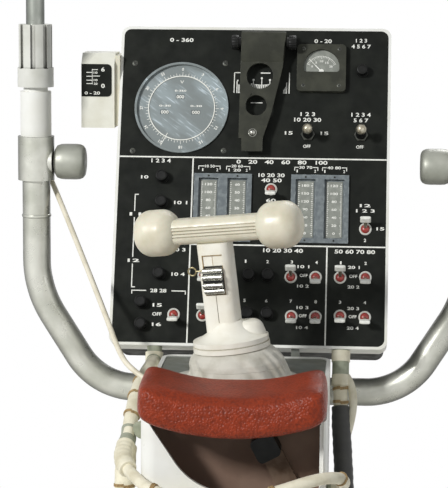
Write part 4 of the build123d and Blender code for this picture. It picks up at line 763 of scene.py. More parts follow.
def make_cords():
    """Makes the harnesses with their sleeves, branches and ties, and the antenna cable."""
    lines, cords = {}, {}
    for name, route, diameter, length, look, stiffness, lay in CORDS:
        curve = bpy.data.curves.new(name + "_cord", "CURVE")
        curve.dimensions = "3D"
        spline = curve.splines.new("NURBS")
        spline.points.add(len(route) - 1)
        places = [value for x, y, z in route for value in (x * MM, y * MM, z * MM, 1.0)]
        spline.points.foreach_set("co", places)
        spline.points.foreach_set("radius", [diameter / 2 * MM] * len(route))
        spline.order_u = 3
        spline.use_endpoint_u = True
        curve.resolution_u = 8
        curve.bevel_depth = 1.0
        curve.bevel_resolution = 5
        curve.use_fill_caps = True
        curve.materials.append(finish(look))
        cord = added(name + "_cord", curve)
        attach(cord, "console")
        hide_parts(name)
        lines[name] = centre_line(cord)
        cords[name] = (cord, [value * MM for value in route[0]], length * MM, diameter * MM, stiffness, lay)
    pieces = {name: [] for name in lines}
    for count, (name, first, last, end, middle, look, beside) in enumerate(SLEEVES):
        line = lines[name]
        part = line[index_at(line, first):index_at(line, last) + 1]
        reach = np.linspace(0, 1, len(part))
        swell = end + (middle - end) * np.minimum(1, np.minimum(reach, 1 - reach) * len(part) / 12)
        swell = swell + 0.16 * np.sin(reach * len(part) * 0.8) + 0.12 * np.sin(reach * len(part) * 0.31 + 2)
        swell[0] = swell[-1] = end - 0.8
        sleeve = tube(part, swell * MM, 32, beside)
        pieces[name].append(piece(f"{name}_sleeve_{count}", [sleeve], look, slot="harness_tape"))
    for name, down, last, reach, radius in BRANCHES:
        start = np.array(BOOT_TOP) - (0, down * math.sin(PANEL_LEAN), down * math.cos(PANEL_LEAN))
        part = np.linspace(0, 1, 60)[:, None]
        off = reach * np.sin(math.pi * part ** 0.65) * (1, 0, 0)
        path = (1 - part) * start * MM + part * lines[name][index_at(lines[name], last)] + off * MM
        branch = tube(path, radius * MM, 20, (1, 0, 0))
        pieces[name].append(piece(name + "_branch", [branch], "harness_tape"))
    rings = []
    for side, first, last, radius in BOOT_RINGS:
        reach = np.linspace(first, last, 7)
        down = np.stack([0 * reach + side * BOOT_TOP[0], BOOT_TOP[1] - reach * math.sin(PANEL_LEAN),
                         BOOT_TOP[2] - reach * math.cos(PANEL_LEAN)], -1)
        rings.append(tube(down * MM, radius * MM, 32))
    piece("connector_rings", rings, "harness_tape")
    for name in lines:
        rings = [tie_shape(lines[name], part, turns, beside, radius)
                 for cord, part, turns, beside, radius in TIES if cord == name]
        if rings:
            pieces[name].append(piece(name + "_ties", rings, "lacing_tan", slot="harness_tape"))


# Panel print: bars by first and last u, first and last v

PANEL_BARS = (
    (3, 277, 139.3, 140.7), (78.3, 79.7, 140, 333), (79, 277, 230.6, 232.0), (217.3, 218.7, 231, 333),
    # power column brackets
    (20.3, 21.3, 180, 197.5), (20.3, 21.3, 204, 245.5), (20.3, 21.3, 252.5, 276.5),
    (20.3, 24.4, 179.5, 180.5), (20.3, 24.4, 276, 277), (20.8, 35.9, 279.5, 280.5),
    (61.7, 76.3, 279.5, 280.5), (20.8, 21.8, 280, 283.5), (75.3, 76.3, 280, 283.5),
    # scale brackets beside the shadow flap
    (118.4, 119.3, 48.4, 70.7), (118.4, 125.2, 48.4, 49.4), (121.2, 122.2, 58, 70.7), (121.6, 123, 56.6, 58),
    (122.9, 123.5, 61.5, 70.2), (123.9, 124.5, 61.8, 70.4), (124.9, 125.5, 62, 70.6),
    (122.6, 125.5, 69.9, 70.8), (175.2, 176.1, 48.4, 70.7), (169.6, 170.2, 66.8, 70.8),
    (170.6, 171.2, 65.6, 70.8), (171.6, 172.2, 63.6, 70.6), (172.6, 173.4, 59, 70.2),
    (169.4, 173.4, 69.9, 70.8), (146, 156, 48.4, 49.6),
)
# brackets over the four tall meters: ends of the bars to either side of each one's numerals, in u
METER_BRACKETS = (
    (84.6, 91, 102, 107.4), (113.2, 118, 131, 137.8), (183, 187.4, 202, 207.4), (211.4, 216, 231.4, 236.8),
)
# first and last v of a bracket's feet, and the foot of its bars
METER_BRACKET = (149, 152.5, 149.4)
BAR = 0.8
# text, first and last u, first and last v
PANEL_TEXT = (
    ("0 - 360", 50.5, 75, 12, 16.2), ("0 - 20", 200.6, 218.6, 11.8, 16), ("1 2 3", 243.5, 255, 11, 15),
    ("4 5 6 7", 239, 259, 17.2, 21.4), ("1 2 3", 188, 203, 90.4, 94.6),
    ("10 20 30", 181.6, 209.4, 96.4, 100.6), ("15", 172.4, 180.4, 111, 114.6), ("15", 209, 217, 111, 114.6),
    ("OFF", 191.4, 199, 125, 128.4), ("1 2 3 4", 240.2, 260, 90.4, 94.6),
    ("5 6 7", 242.6, 257.6, 96.4, 100.6), ("OFF", 245.6, 253.2, 125, 128.4), ("1 2 3 4", 36, 56, 141.8, 146),
    ("10", 26, 33.6, 159.8, 163.2), ("10 1", 61, 74.5, 186.2, 189.8), ("10 2", 61, 74.5, 210.8, 214.4),
    ("10 3", 61, 74.5, 235.4, 239), ("10 4", 61, 74.5, 260.8, 264.4), ("11", 15.8, 27.7, 199, 202.4),
    ("12", 15.8, 27.7, 247.4, 250.8), ("28 28", 40, 56.6, 278, 281.8), ("15", 43, 52.5, 293, 296.6),
    ("OFF", 43, 52.5, 302.2, 305.8), ("16", 43, 52.5, 312.8, 316.4),
    ("0   20   40   60   80   100", 123.6, 216.7, 141.8, 146), ("10 50", 91.5, 101.5, 147.6, 150.6),
    ("1", 88.6, 89.8, 151.4, 154.4), ("2", 103.2, 105, 151.4, 154.4), ("20 60", 118.6, 130.4, 147.2, 150.2),
    ("20", 120.6, 128.4, 151.4, 154.4), ("1", 115.6, 116.8, 151.4, 154.4), ("2", 133.4, 135.2, 151.4, 154.4),
    ("30 70", 188, 201.4, 147.6, 150.6), ("1", 185.4, 186.6, 151.4, 154.4),
    ("2", 203.4, 205.2, 151.4, 154.4), ("40 80", 216.6, 230.6, 147.6, 150.6),
    ("1", 213.6, 214.8, 151.4, 154.4), ("2", 233, 234.8, 151.4, 154.4),
    ("10 20 30", 146.5, 173.3, 155.8, 159.8), ("40 50", 149.4, 170.4, 161.2, 165.2),
    ("60", 155, 165, 182.4, 186), ("12", 250.4, 261.4, 186.6, 189.8), ("1 2 3", 246.6, 265.6, 192, 195.4),
    ("15", 267.6, 275.5, 210.4, 213.8), ("2", 255, 257.4, 222.6, 226),
    ("10 20 30 40", 153.4, 193.8, 234.2, 238.4), ("1", 135.2, 136.8, 246.4, 249.6),
    ("2", 157, 159.4, 246.4, 249.6), ("3", 181.6, 184, 246.4, 249.6), ("4", 206.4, 209, 246.4, 249.6),
    ("5", 134.8, 137.2, 286.8, 290), ("6", 156.8, 159.2, 286.8, 290), ("7", 181.4, 184, 286.8, 290),
    ("8", 206.4, 209, 286.8, 290), ("10 1", 188.6, 200.6, 251, 254.2), ("OFF", 191, 199, 260, 263.2),
    ("10 2", 188.6, 200.6, 271, 274.2), ("10 3", 188.6, 200.6, 293, 296.2), ("OFF", 191, 199, 301.4, 304.6),
    ("10 4", 188.6, 200.6, 313.4, 316.6), ("50 60 70 80", 225.8, 266.6, 234.2, 238.4),
    ("1", 231.4, 233, 246.4, 249.6), ("2", 256, 258.4, 246.4, 249.6), ("3", 231, 233.4, 286.8, 290),
    ("4", 255.8, 258.4, 286.8, 290), ("20 1", 239.4, 251.4, 250.8, 254), ("OFF", 241, 249, 260, 263.2),
    ("20 2", 239.4, 251.4, 271, 274.2), ("20 3", 239.4, 251.4, 293, 296.2), ("OFF", 241, 249, 301.4, 304.6),
    ("20 4", 239.4, 251.4, 313, 316.2),
)
HEADING = (65.0, 87.3)
HEADING_OUT = -1.85
# radii of the inner ring, of the outer ring and of the ticks' ends: every 30, 10 and 5 degrees
HEADING_RING, HEADING_RIM = 34.2, 46.6
HEADING_TICKS = (38.6, 37.6, 36.6)
HEADING_ARROW = (64.6, 60.6)
HEADING_NEEDLE = 207
# text, u, v, and v of the label below it
READOUTS = (("000", 63.3, 75.2, 68.6), ("000", 47.7, 91.7, 84.9), ("000", 80.0, 91.7, 84.9))
SPEED = (208.6, 44.2)
SPEED_OUT = 2.66
SPEED_SIDE, SPEED_THICK = 50.4, 6.0
# the speed meter's window: arc radius, arc centre above the meter's middle, foot below it, foot corners
SPEED_WINDOW = (18.3, 1.4, 4.4, 3.0)
METER_LEFTS = (81.0, 110.5, 180.2, 209.6)
METER_WIDE = 29.4
METER_MIDDLE = 192.7
METER_OUT = -2.34
METER_SCALES = (20, 10, 30, 20)
# half the width and half the height of a meter's card
CARD_HALF = (8.4, 29.4)
# down each edge of a card: dots, steps between them, half their height; numerals, steps between them
DOT_COUNT, DOT_STEP, DOT_HALF = 27, 2.08, 0.42
NUMERAL_COUNT, NUMERAL_STEP = 7, 8.3
# the speed scale: its reach to each side in degrees, radii of long and short ticks' feet, of their ends
SPEED_REACH = 60
SPEED_FEET = (13.6, 15.0)
SPEED_ENDS = 16.6
SPEED_NUMERALS = 11.2
SPEED_NEEDLE = -44


def flat_text(points, extra):
    """Text boxes given on the panel: x is u, y is the height above the panel's foot."""
    return on_panel(points[:, 0], PANEL_TALL - points[:, 1], extra)


def round_dial(points, u, v, out, angle):
    """Metres from places about a dial's centre, turned clockwise by an angle."""
    across = points[:, 0] * np.cos(angle) + points[:, 1] * np.sin(angle)
    upward = points[:, 1] * np.cos(angle) - points[:, 0] * np.sin(angle)
    return on_panel(u + across, v - upward, out)


def round_text(points, extra):
    """Text boxes given round a dial: x is across the letter, y outwards; extra is u, v, out and the turn."""
    return round_dial(points, *extra[:3], math.radians(extra[3]))


def spokes(centre, out, angles, inner, outer, width, proud=0.06):
    """Thin bars pointing away from a centre on the panel, at each angle from the top."""
    angles = np.radians(np.asarray(angles, float))
    inner, outer = np.broadcast_to(inner, angles.shape), np.broadcast_to(outer, angles.shape)
    half = np.full(angles.shape, width / 2)
    points, faces = boxes(np.stack([-half, half, inner, outer, 0 * half, 0 * half + proud], -1))
    return round_dial(points, *centre, out + points[:, 2], np.repeat(angles, 8)), faces


def arc_band(centre, out, radius, width, first, last, count=96, proud=0.06):
    """A flat ring or part of one round a centre on the panel, between two angles from the top."""
    angle = np.radians(np.linspace(first, last, count))[:, None]
    across = np.array([radius - width / 2, radius + width / 2, radius + width / 2, radius - width / 2])
    high = np.array([0, 0, proud, proud])
    points = on_panel(centre[0] + across * np.sin(angle), centre[1] - across * np.cos(angle),
                      out + high * np.ones_like(angle))
    return points.reshape(-1, 3), grid_faces(count, 4)


def make_panel_print():
    """Draws the bars and numerals on the panel."""
    rows = [(text, left, right, PANEL_TALL - low, PANEL_TALL - high, PLATE_OUT + 0.13)
            for text, left, right, high, low in PANEL_TEXT]
    first, last, top = METER_BRACKET
    brackets = []
    for a, b, c, d in METER_BRACKETS:
        brackets += [(a, b, top - BAR, top), (c, d, top - BAR, top),
                     (a, a + BAR, first, last), (d - BAR, d, first, last)]
    proud = bpy.context.scene.console_sizes.print_proud / MM
    printed("panel_bars", [panel_strips([*PANEL_BARS, *brackets], PLATE_OUT, proud)])
    printed("panel_numerals", lettering(rows, flat_text), solid=False)


def make_heading_dial():
    """Draws the round dial's rings, ticks, numerals and needle."""
    marks = np.arange(0, 360, 5)
    long, middling, short = HEADING_TICKS
    ends = np.where(marks % 30 == 0, long, np.where(marks % 10 == 0, middling, short))
    shapes = [spokes(HEADING, HEADING_OUT, marks, HEADING_RING + 0.7, ends, 0.45),
              arc_band(HEADING, HEADING_OUT, HEADING_RING, 0.9, 0, 360, 145, 0.9),
              arc_band(HEADING, HEADING_OUT, HEADING_RIM, 0.5, 0, 360, 145),
              spokes(HEADING_ARROW, HEADING_OUT, (28, -28), 0, 3.4, 0.6),
              spokes(HEADING, HEADING_OUT, (HEADING_NEEDLE,), 30, 45, 0.7)]
    printed("heading_marks", shapes)
    rows, out = [], HEADING_OUT + 0.04
    for step in range(12):
        wide = 1.9 if step * 3 < 10 else 3.8
        rows.append((str(step * 3), -wide / 2, wide / 2, 40.2, 43.4, (*HEADING, out, step * 30)))
    for text, u, v, label in READOUTS:
        rows.append((text, -4, 4, -1.75, 1.75, (u, v, out, 0)))
        rows.append(("0-360" if v < 80 else "0-30", -6, 6, -1, 1, (u, label, out, 0)))
    printed("heading_numerals", lettering(rows, round_text), solid=False)


def make_meters():
    """Makes the speed meter's bezel, scale and needle, and the tall meters' cards, dots and numerals."""
    radius, rise, foot, corner = SPEED_WINDOW
    window = np.concatenate([arc_points(0, rise, radius, 0, 180, 41),
                             arc_points(corner - radius, corner - foot, corner, 180, 270, 8),
                             arc_points(radius - corner, corner - foot, corner, 270, 360, 8)])
    bezel = cut_plate([rounded_outline(SPEED_SIDE, SPEED_SIDE, 4.4), window[::-1]], SPEED_THICK)
    shell = piece("speed_bezel", [placed(bezel, panel_place(*SPEED, PLATE_OUT + 0.1))], "flap_charcoal",
                  slot="black_plastic", replaces=("speed_meter",))
    soften(shell, 0.9)
    fan = on_panel(SPEED[0] + window[:, 0], SPEED[1] - window[:, 1], SPEED_OUT - 0.6)
    cards = [(fan, [list(range(len(window) - 1, -1, -1))])]
    centre = (SPEED[0], SPEED[1] + foot - 1.0)
    frames = []
    for left in METER_LEFTS:
        middle = left + METER_WIDE / 2
        frames.append((middle - CARD_HALF[0], middle + CARD_HALF[0],
                       METER_MIDDLE - CARD_HALF[1], METER_MIDDLE + CARD_HALF[1]))
    cards.append(panel_strips(frames, METER_OUT, 0.35))
    piece("meter_cards", cards, "meter_card", slot="dial_silver", solid=False)
    turn = np.linspace(-SPEED_REACH, SPEED_REACH, 21)
    feet = np.where(np.arange(21) % 5 == 0, *SPEED_FEET)
    reach = SPEED_REACH + 2
    ticks = [spokes(centre, SPEED_OUT - 0.56, turn, feet, SPEED_ENDS, 0.4),
             arc_band(centre, SPEED_OUT - 0.56, SPEED_ENDS + 0.1, 0.35, -reach, reach, 40)]
    dots, text = [], []
    edge = CARD_HALF[0] - 1
    for left, scale in zip(METER_LEFTS, METER_SCALES):
        middle = left + METER_WIDE / 2
        for step in range(DOT_COUNT):
            v = METER_MIDDLE - 27 + step * DOT_STEP
            wide = 1.7 if step % 4 == 1 else 1.0
            dots += [(middle - edge, middle - edge + wide, v - DOT_HALF, v + DOT_HALF),
                     (middle + edge - wide, middle + edge, v - DOT_HALF, v + DOT_HALF)]
        for step in range(NUMERAL_COUNT):
            high = PANEL_TALL - METER_MIDDLE + 25 - step * NUMERAL_STEP
            value = str((NUMERAL_COUNT - 1 - step) * scale)
            wide = 1.25 * len(value)
            text.append((value, middle - wide, middle + wide, high - 1.3, high + 1.3, METER_OUT + 0.42))
    printed("meter_marks", ticks + [panel_strips(dots, METER_OUT + 0.35, 0.06)])
    for step in range(5):
        angle = math.radians(step * SPEED_REACH / 2 - SPEED_REACH)
        u, v = centre[0] + SPEED_NUMERALS * math.sin(angle), centre[1] - SPEED_NUMERALS * math.cos(angle)
        value = str(step * 5)
        wide, high = 0.85 * len(value), PANEL_TALL - v
        text.append((value, u - wide, u + wide, high - 1.1, high + 1.1, SPEED_OUT - 0.5))
    printed("meter_numerals", lettering(text, flat_text), solid=False)
    hub = turned([(0, 0), (2.6, 0), (2.6, 0.8), (0, 0.9)], 24)
    needle = [spokes(centre, SPEED_OUT, (SPEED_NEEDLE,), -1, 9, 1.1, 0.25),
              spokes(centre, SPEED_OUT, (SPEED_NEEDLE,), 9, 18.2, 0.6, 0.25),
              placed(hub, panel_place(*centre, SPEED_OUT - 0.3))]
    printed("speed_needle", needle)


def stood(shape, spots):
    """The shape stood on the panel at every spot, each a row of panel_place's values."""
    return [placed(shape, panel_place(*spot)) for spot in spots]


# Switches: u, v and the way the lever leans (1 up the panel, -1 down)
TOGGLES = (
    (159.8, 172.7, -1), (256.4, 212.7, 1), (64.8, 304.2, -1), (94.0, 263.0, -1), (94.0, 304.6, 1),
    (182.0, 263.6, 1), (207.1, 263.3, -1), (183.5, 303.9, -1), (207.7, 303.9, -1),
    (231.8, 263.3, 1), (257.2, 262.6, -1), (232.4, 302.5, -1), (257.2, 303.4, -1),
)
TOGGLE_LEAN = 26.0
BALLS = ((196.0, 114.0), (250.4, 114.0))
BALL_RADIUS, BALL_HEIGHT = 5.3, 22
# a ball switch's rubber boot: radius and height
BALL_BOOT = (
    (0, 2.4), (5.4, 2.4), (5.4, 3.6), (4.2, 5.4), (4.4, 6.4), (3.4, 8.2), (3.5, 9.0), (2.7, 10.6), (0, 11),
)
BREAKERS = (
    (47.8, 161.5, 6.0), (48.0, 188.0, 6.0), (48.0, 212.7, 6.0), (48.0, 237.3, 6.0), (48.3, 262.5, 6.0),
    (31.1, 292.2, 6.0), (31.8, 314.9, 6.0), (250.4, 46.4, 5.6),
    (139.3, 262.6, 6.0), (158.7, 262.6, 6.0), (139.0, 302.0, 6.0), (158.7, 302.0, 6.0),
)
# head radius, how far out the screw stands, and the u and v of each
SCREWS = (
    (3.0, -0.35, ((15, 40), (109, 39), (16, 134), (110, 132.5))),
    (2.3, 5.2, ((190.2, 24), (226.8, 24), (190.2, 63.4), (226.8, 63.4))),
    (1.0, 2.0, [(u, v) for v in (159.6, 225.8) for u in (95.7, 125.2, 194.9, 224.3)]),
)


def make_switches():
    """Makes the paddle switches: ring, red hood, lever and white tab."""
    ring = turned([(4.4, 0), (6.3, 0), (6.4, 0.9), (5.9, 1.5), (5.2, 1.7), (4.6, 1.4), (4.4, 0)], 36)
    hood = turned([(0, 0.1), (4.5, 0.1), (4.5, 1.0), (3.9, 2.2), (2.6, 3.2), (0, 3.6)], 28)
    lever = turned([(0, 1), (1.7, 1), (1.9, 9), (2.1, 13), (0, 13.4)], 20)
    tab, faces = slab(10.8, 3.6, 6.8, 1.2)
    upright = [(u, v) for u, v, way in TOGGLES]
    leaning = [(u, v, PLATE_OUT, 0, way * TOGGLE_LEAN) for u, v, way in TOGGLES]
    piece("toggle_rings", stood(ring, upright), "collar_white", replaces=("toggle_switches",))
    piece("toggle_hoods", stood(hood, upright), "signal_red", slot="red_leather")
    piece("toggle_levers", stood(lever, leaning), "toggle_metal")
    printed("toggle_tabs", stood((tab + (0, 0, 12.6), faces), leaning))


def hexagon(angle, height):
    """Radius factor that flattens a round form to six sides."""
    return math.cos(math.pi / 6) / np.cos((angle % (math.pi / 3)) - math.pi / 6)


def make_ball_switches():
    """Makes the two ball-ended switches: six-sided nut, rubber boot, stem and ball."""
    nut = turned([(0, 0), (7.2, 0), (7.2, 2.0), (6.4, 2.5), (0, 2.5)], 48, hexagon)
    boot = turned(BALL_BOOT, 32)
    stem = turned([(0, 10), (2.2, 10), (2.4, 17.6), (0, 17.8)], 20)
    arc = np.linspace(-math.pi / 2, math.pi / 2, 17)
    wide = BALL_RADIUS * np.cos(arc) * (1 + 0.03 * np.cos(4 * arc))
    ball = turned(np.stack([wide, BALL_HEIGHT + BALL_RADIUS * np.sin(arc)], -1), 36)
    nuts = stood(nut, BALLS)
    piece("ball_switch_nuts", nuts, "screw_dark", slot="toggle_metal", replaces=("ball_toggles",))
    piece("ball_switch_boots", stood(boot, BALLS), "black_plastic")
    piece("ball_switch_levers", [*stood(stem, BALLS), *stood(ball, BALLS)], "toggle_metal")


def knurl(count, deep):
    """Radius factor for a ring of small ridges."""
    return lambda angle, height: 1 + deep * np.cos(count * angle)


def make_breakers():
    """Makes the circuit breakers' ridged black push caps."""
    caps = []
    for u, v, radius in BREAKERS:
        collar = turned([(0, 0), (radius + 0.8, 0), (radius + 0.8, 1.4), (radius + 0.2, 2), (0, 2)], 36)
        cap = turned([(0, 1.9), (radius - 0.2, 1.9), (radius - 0.2, 3.0), (radius, 3.2), (radius, 8.6),
                      (radius - 0.5, 9.6), (radius - 1.4, 10), (radius - 1.9, 9.5), (0, 9.4)], 48,
                      knurl(24, 0.012))
        caps += [placed(collar, panel_place(u, v)), placed(cap, panel_place(u, v))]
    piece("breaker_caps", caps, "black_plastic", replaces=("circuit_breakers",))


def make_screws():
    """Makes the panel's screws, each with a cross slot turned its own way."""
    shapes, slots = [], []
    for radius, out, spots in SCREWS:
        domed = (radius * 0.85, 0.6), (radius * 0.5, 0.8)
        head = turned([(0, 0), (radius, 0), (radius, 0.25), *domed, (0, 0.85)], 20)
        arm = radius * 0.7
        # the cross slots are black bars on the heads: painted shade in place of cut slots
        cross = boxes([(-arm, arm, -0.25, 0.25, 0.5, 0.9), (-0.25, 0.25, -arm, arm, 0.5, 0.92)])
        shapes += stood(head, [(u, v, out) for u, v in spots])
        slots += stood(cross, [(u, v, out, 20 + u) for u, v in spots])
    piece("panel_screws", shapes, "screw_dark", slot="black_plastic")
    piece("panel_screw_slots", slots, "black_plastic")


# Screws of the case: u and v on its back, v on its sides, how far behind the rim they stand, head radius
CASE_BACK_SCREWS = [(u, v) for v in (24, 168, 312) for u in (24, 140, 256) if (u, v) != (140, 168)]
CASE_SIDE_SCREWS = (48, 168, 288)
CASE_BACK, CASE_LAP, CASE_SIDE = -95.05, -36.0, 2.5
CASE_HEAD = 3.2


def make_case_screws():
    """Makes the domed screws that hold the case's back and sides."""
    rim = CASE_HEAD
    dome, faces = turned([(0, 0), (rim, 0), (rim, 0.5), (rim * 0.8, 1.3), (rim * 0.4, 1.7), (0, 1.8)], 20)
    shapes = stood((dome * (1, -1, -1), faces), [(u, v, CASE_BACK) for u, v in CASE_BACK_SCREWS])
    for u, way in ((CASE_SIDE, -1), (PANEL_WIDE - CASE_SIDE, 1)):
        shapes += stood(sideways((dome, faces), way), [(u, v, CASE_LAP) for v in CASE_SIDE_SCREWS])
    piece("case_screws", shapes, "screw_dark", slot="black_plastic")


# Handhold tube: height of the joint in its uprights, and the tees' knobs as radius and distance from the tee
TUBE_SIDE = 222.0
JOINT_HEIGHT = 622.0
WELD_RING = ((14.2, -1.8), (14.9, -1.2), (15.2, 0), (14.9, 1.2), (14.2, 1.8), (14.2, -1.8))
CLAMP_KNOB = (
    (0, 0.5), (9, 0.5), (13.2, 1.4), (16.6, 3.6), (18.0, 7.5), (18.3, 12), (18.3, 23), (17.9, 27),
    (16.6, 30),
    (14.2, 31.9), (11.5, 32.5), (0, 32.8),
)


def make_clamps():
    """Makes the tees' knobs, flared from the tee to a barrel, and a weld ring round each upright."""
    knobs, rings = [], []
    ring = turned(WELD_RING, 48)
    for name, way in (("tee_knob_left", 1), ("tee_knob_right", -1)):
        low, high = (np.array(corner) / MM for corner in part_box(name))
        middle = (low + high) / 2
        knob, faces = sideways(turned(CLAMP_KNOB, 48), way)
        foot = np.array(((low if way > 0 else high)[0], middle[1], middle[2]))
        knobs.append(((knob + foot) * MM, faces))
        rings.append(((ring[0] + (-way * TUBE_SIDE, middle[1], JOINT_HEIGHT)) * MM, ring[1]))
    piece("clamp_knobs", knobs, "knob_grey", replaces=("tee_knob_left", "tee_knob_right"))
    piece("tube_joints", rings, "tube_aluminium")


# Shadow flap
FLAP_EARS = (120.6, 177.8)
FLAP_HINGE = (20.0, 16.0)
FLAP_STUD = (139.8, 116.4)
FLAP_OUT, FLAP_THICK = 9.0, 3.0
FLAP_RIM = (
    (125.6, 10), (172.8, 10), (168.8, 46.6), (158, 97), (150.2, 122), (150.2, 135.6), (129, 135.6),
    (128.6, 122),
    (125.6, 122),
)
# round windows through the flap: u, v, radius
FLAP_WINDOWS = ((145.7, 55.6, 13.8), (142.6, 87.2, 11.0))
# the flap's thick top, which holds the hinge pin: v and out round its end
FLAP_HOOD = ((10, 9), (10, 18.6), (11.6, 20.4), (26, 20.4), (41, 12), (41, 9))
# the sun scale behind the upper window: centre, inner and outer radius of its ticks, reach in degrees, posts
SUN_SCALE = (147.2, 21.5)
SUN_TICKS = (40.4, 46.0)
SUN_REACH = 15
SUN_POSTS = ((138.6, 56.5), (147.2, 54.6), (155.6, 56.5))
# an ear's knurled nut: radius and distance along its axis, towards the flap
EAR_NUT = (
    (2.7, 5), (5.4, 5), (5.4, 3), (7.0, 2.6), (7.3, 2), (7.3, -3.4), (6.6, -4.4), (4.6, -5), (2.7, -5),
    (2.7, 5),
)


def on_flap(points):
    """Metres from a place on the flap: x is u, y is -v and z stands out from the flap's back."""
    return on_panel(points[:, 0], -points[:, 1], FLAP_OUT + points[:, 2])


def make_flap():
    """Makes the tapered flap: two round windows, a thick top round its hinge pin and a domed stud."""
    rim = np.array(FLAP_RIM) * (1, -1)
    windows = [arc_points(u, -v, radius, 360, 6, 60) for u, v, radius in FLAP_WINDOWS]
    points, faces = cut_plate([rim, *windows], FLAP_THICK)
    v, out = np.array(FLAP_HOOD).T
    count = len(FLAP_HOOD)
    right = np.interp(v, (FLAP_RIM[1][1], FLAP_RIM[2][1]), (FLAP_RIM[1][0], FLAP_RIM[2][0]))
    ends = on_panel([FLAP_RIM[0][0] + 0.6 + 0 * v, right - 0.6], v, out).reshape(-1, 3)
    sides = [[i, (i + 1) % count, (i + 1) % count + count, i + count] for i in range(count)]
    hood = (ends, [*sides, list(range(count))[::-1], list(range(count, 2 * count))])
    shapes = [(on_flap(points), faces), hood]
    flap = piece("flap_plate", shapes, "flap_charcoal", "shadow_flap", slot="panel_black",
                 replaces=("shadow_flap",))
    soften(flap, 0.5)
    arc = np.linspace(0, math.pi / 2, 8)
    stud = turned([(0, -0.2), (4.3, -0.2), (4.3, 0.3), *zip(3.75 * np.cos(arc), 0.3 + 3.75 * np.sin(arc))],
                  28)
    spot = panel_place(*FLAP_STUD, FLAP_OUT + FLAP_THICK)
    piece("flap_stud", [placed(stud, spot)], "slider_chrome", "shadow_flap")


def make_flap_ears():
    """Makes the flap's knurled nuts, each on a narrow foot, and the sun scale's white marks."""
    shapes = []
    for u, side in zip(FLAP_EARS, (1, -1)):
        nut = turned([(radius, side * along) for radius, along in EAR_NUT], 60, knurl(20, 0.025))
        middle = panel_place(u, FLAP_HINGE[0] + 1.2, FLAP_HINGE[1] - 0.6)
        shapes.append(placed(sideways(nut), middle))
        shapes.append(placed(slab(8, 8.6, 10.6, 1.0), panel_place(u, FLAP_HINGE[0], PLATE_OUT)))
    piece("flap_ear_knobs", shapes, "black_plastic", replaces=("flap_ears",))
    rows = [(u - 0.4, u + 0.4, v, 62) for u, v in SUN_POSTS]
    dots = [arc_band((u, v), PLATE_OUT, 0.55, 1.1, 0, 360, 17, 0.14) for u, v in SUN_POSTS]
    angles = np.arange(-SUN_REACH, SUN_REACH + 0.1, 2.5)
    ticks = spokes(SUN_SCALE, PLATE_OUT, 180 + angles, SUN_TICKS[0], SUN_TICKS[1] - 0.8, 1.1, 0.12)
    rims = [arc_band(SUN_SCALE, PLATE_OUT, radius, wide, 180 - SUN_REACH, 180 + SUN_REACH, 32, 0.13)
            for radius, wide in ((SUN_TICKS[0], 0.5), (SUN_TICKS[1] - 0.5, 1.3))]
    lower = panel_strips([(136.5, 148.5, 80.6, 81.5)])
    marks = [panel_strips(rows), *dots, ticks, *rims, lower]
    printed("flap_scale", marks)


GRIP_TURN = math.radians(15)
POST_SHIFT = -5.0
POST_FRONT = -13.0
DRUM_CENTRE = (POST_FRONT + 2.5, 133.5)
DRUM_SIZE = (7.0, 11.5)
DRUM_RIBS = 4
RIB_TURN, RIB_RADIUS = 38.0, 2.9
SLOT_HALF = 9.8
# the shutter's seam, and dark lines round the slot's edges that paint the shade at its stepped rim: low and
# high x, y and z on the grip
SLOT_LINES = (
    (-0.25, 0.25, POST_FRONT + 1.2, POST_FRONT + 1.6, 147.6, 157.8),
    (-10, -9.4, POST_FRONT + 0.2, POST_FRONT + 1.5, 119.6, 157.9),
    (-10, 10, POST_FRONT + 0.2, POST_FRONT + 1.5, 157.2, 157.9),
    (9.5, 10, POST_FRONT + 0.2, POST_FRONT + 1.5, 119.6, 147.5),
    (-10, 10, POST_FRONT + 0.2, POST_FRONT + 1.5, 119.6, 120.1),
)


def in_grip(points):
    """Metres from a place on the grip: x along the bar and y towards the panel, turned about the stick."""
    x, y, z = np.moveaxis(np.asarray(points, float), -1, 0)
    x = x + POST_SHIFT
    sine, cosine = math.sin(-GRIP_TURN), math.cos(-GRIP_TURN)
    return on_stick(np.stack([x * cosine - y * sine, x * sine + y * cosine, z], -1))


def make_slider():
    """Makes the thumb drum: chrome ribs round a dark flattened core, and the shutter's seam above it."""
    deep, tall = DRUM_SIZE
    core, faces = turned([(0, -SLOT_HALF), (1, -SLOT_HALF), (1, SLOT_HALF), (0, SLOT_HALF)], 72)
    core = np.stack([core[:, 2], deep * core[:, 0] + DRUM_CENTRE[0], tall * core[:, 1] + DRUM_CENTRE[1]], -1)
    # painted shade: the core is black so that the gaps between the chrome ribs read dark
    piece("thumb_drum_core", [(in_grip(core), faces)], "black_plastic", "stick", "slider_chrome",
          ("thumb_slider",))
    ribs = []
    across = np.concatenate([[-SLOT_HALF], np.linspace(-SLOT_HALF + 0.3, SLOT_HALF - 0.3, 5), [SLOT_HALF]])
    for turn in np.radians(RIB_TURN * (np.arange(DRUM_RIBS) - (DRUM_RIBS - 1) / 2)):
        y, z = DRUM_CENTRE[0] - deep * math.cos(turn), DRUM_CENTRE[1] + tall * math.sin(turn)
        path = np.stack([across, np.full(7, y), np.full(7, z)], -1)
        radii = (RIB_RADIUS - 0.4, *[RIB_RADIUS] * 5, RIB_RADIUS - 0.4)
        ribs.append(placed(tube(path, radii, 24, (0, 0, 1)), in_grip))
    piece("thumb_drum_ribs", ribs, "slider_chrome", "stick", "slider_chrome", sharp=50)
    # painted shade: dark lines along the slot's rim, besides the shutter's seam
    lines, faces = boxes(SLOT_LINES)
    piece("slot_lines", [(in_grip(lines), faces)], "lacing_tan", "stick", "cream_plastic")


# Arm pad
PAD_AXIS = 719.5
PAD_TOP = 215.0
PAD_THICK = 38.0
PAD_HALF = 85.5
PAD_FRONT = -214.0
PAD_BACK = -135.0
PAD_SQUARE = 7.0
PAD_INSET = 1.0
PAD_SLOPE = math.radians(7.0)
PAD_FLARE = 0.012


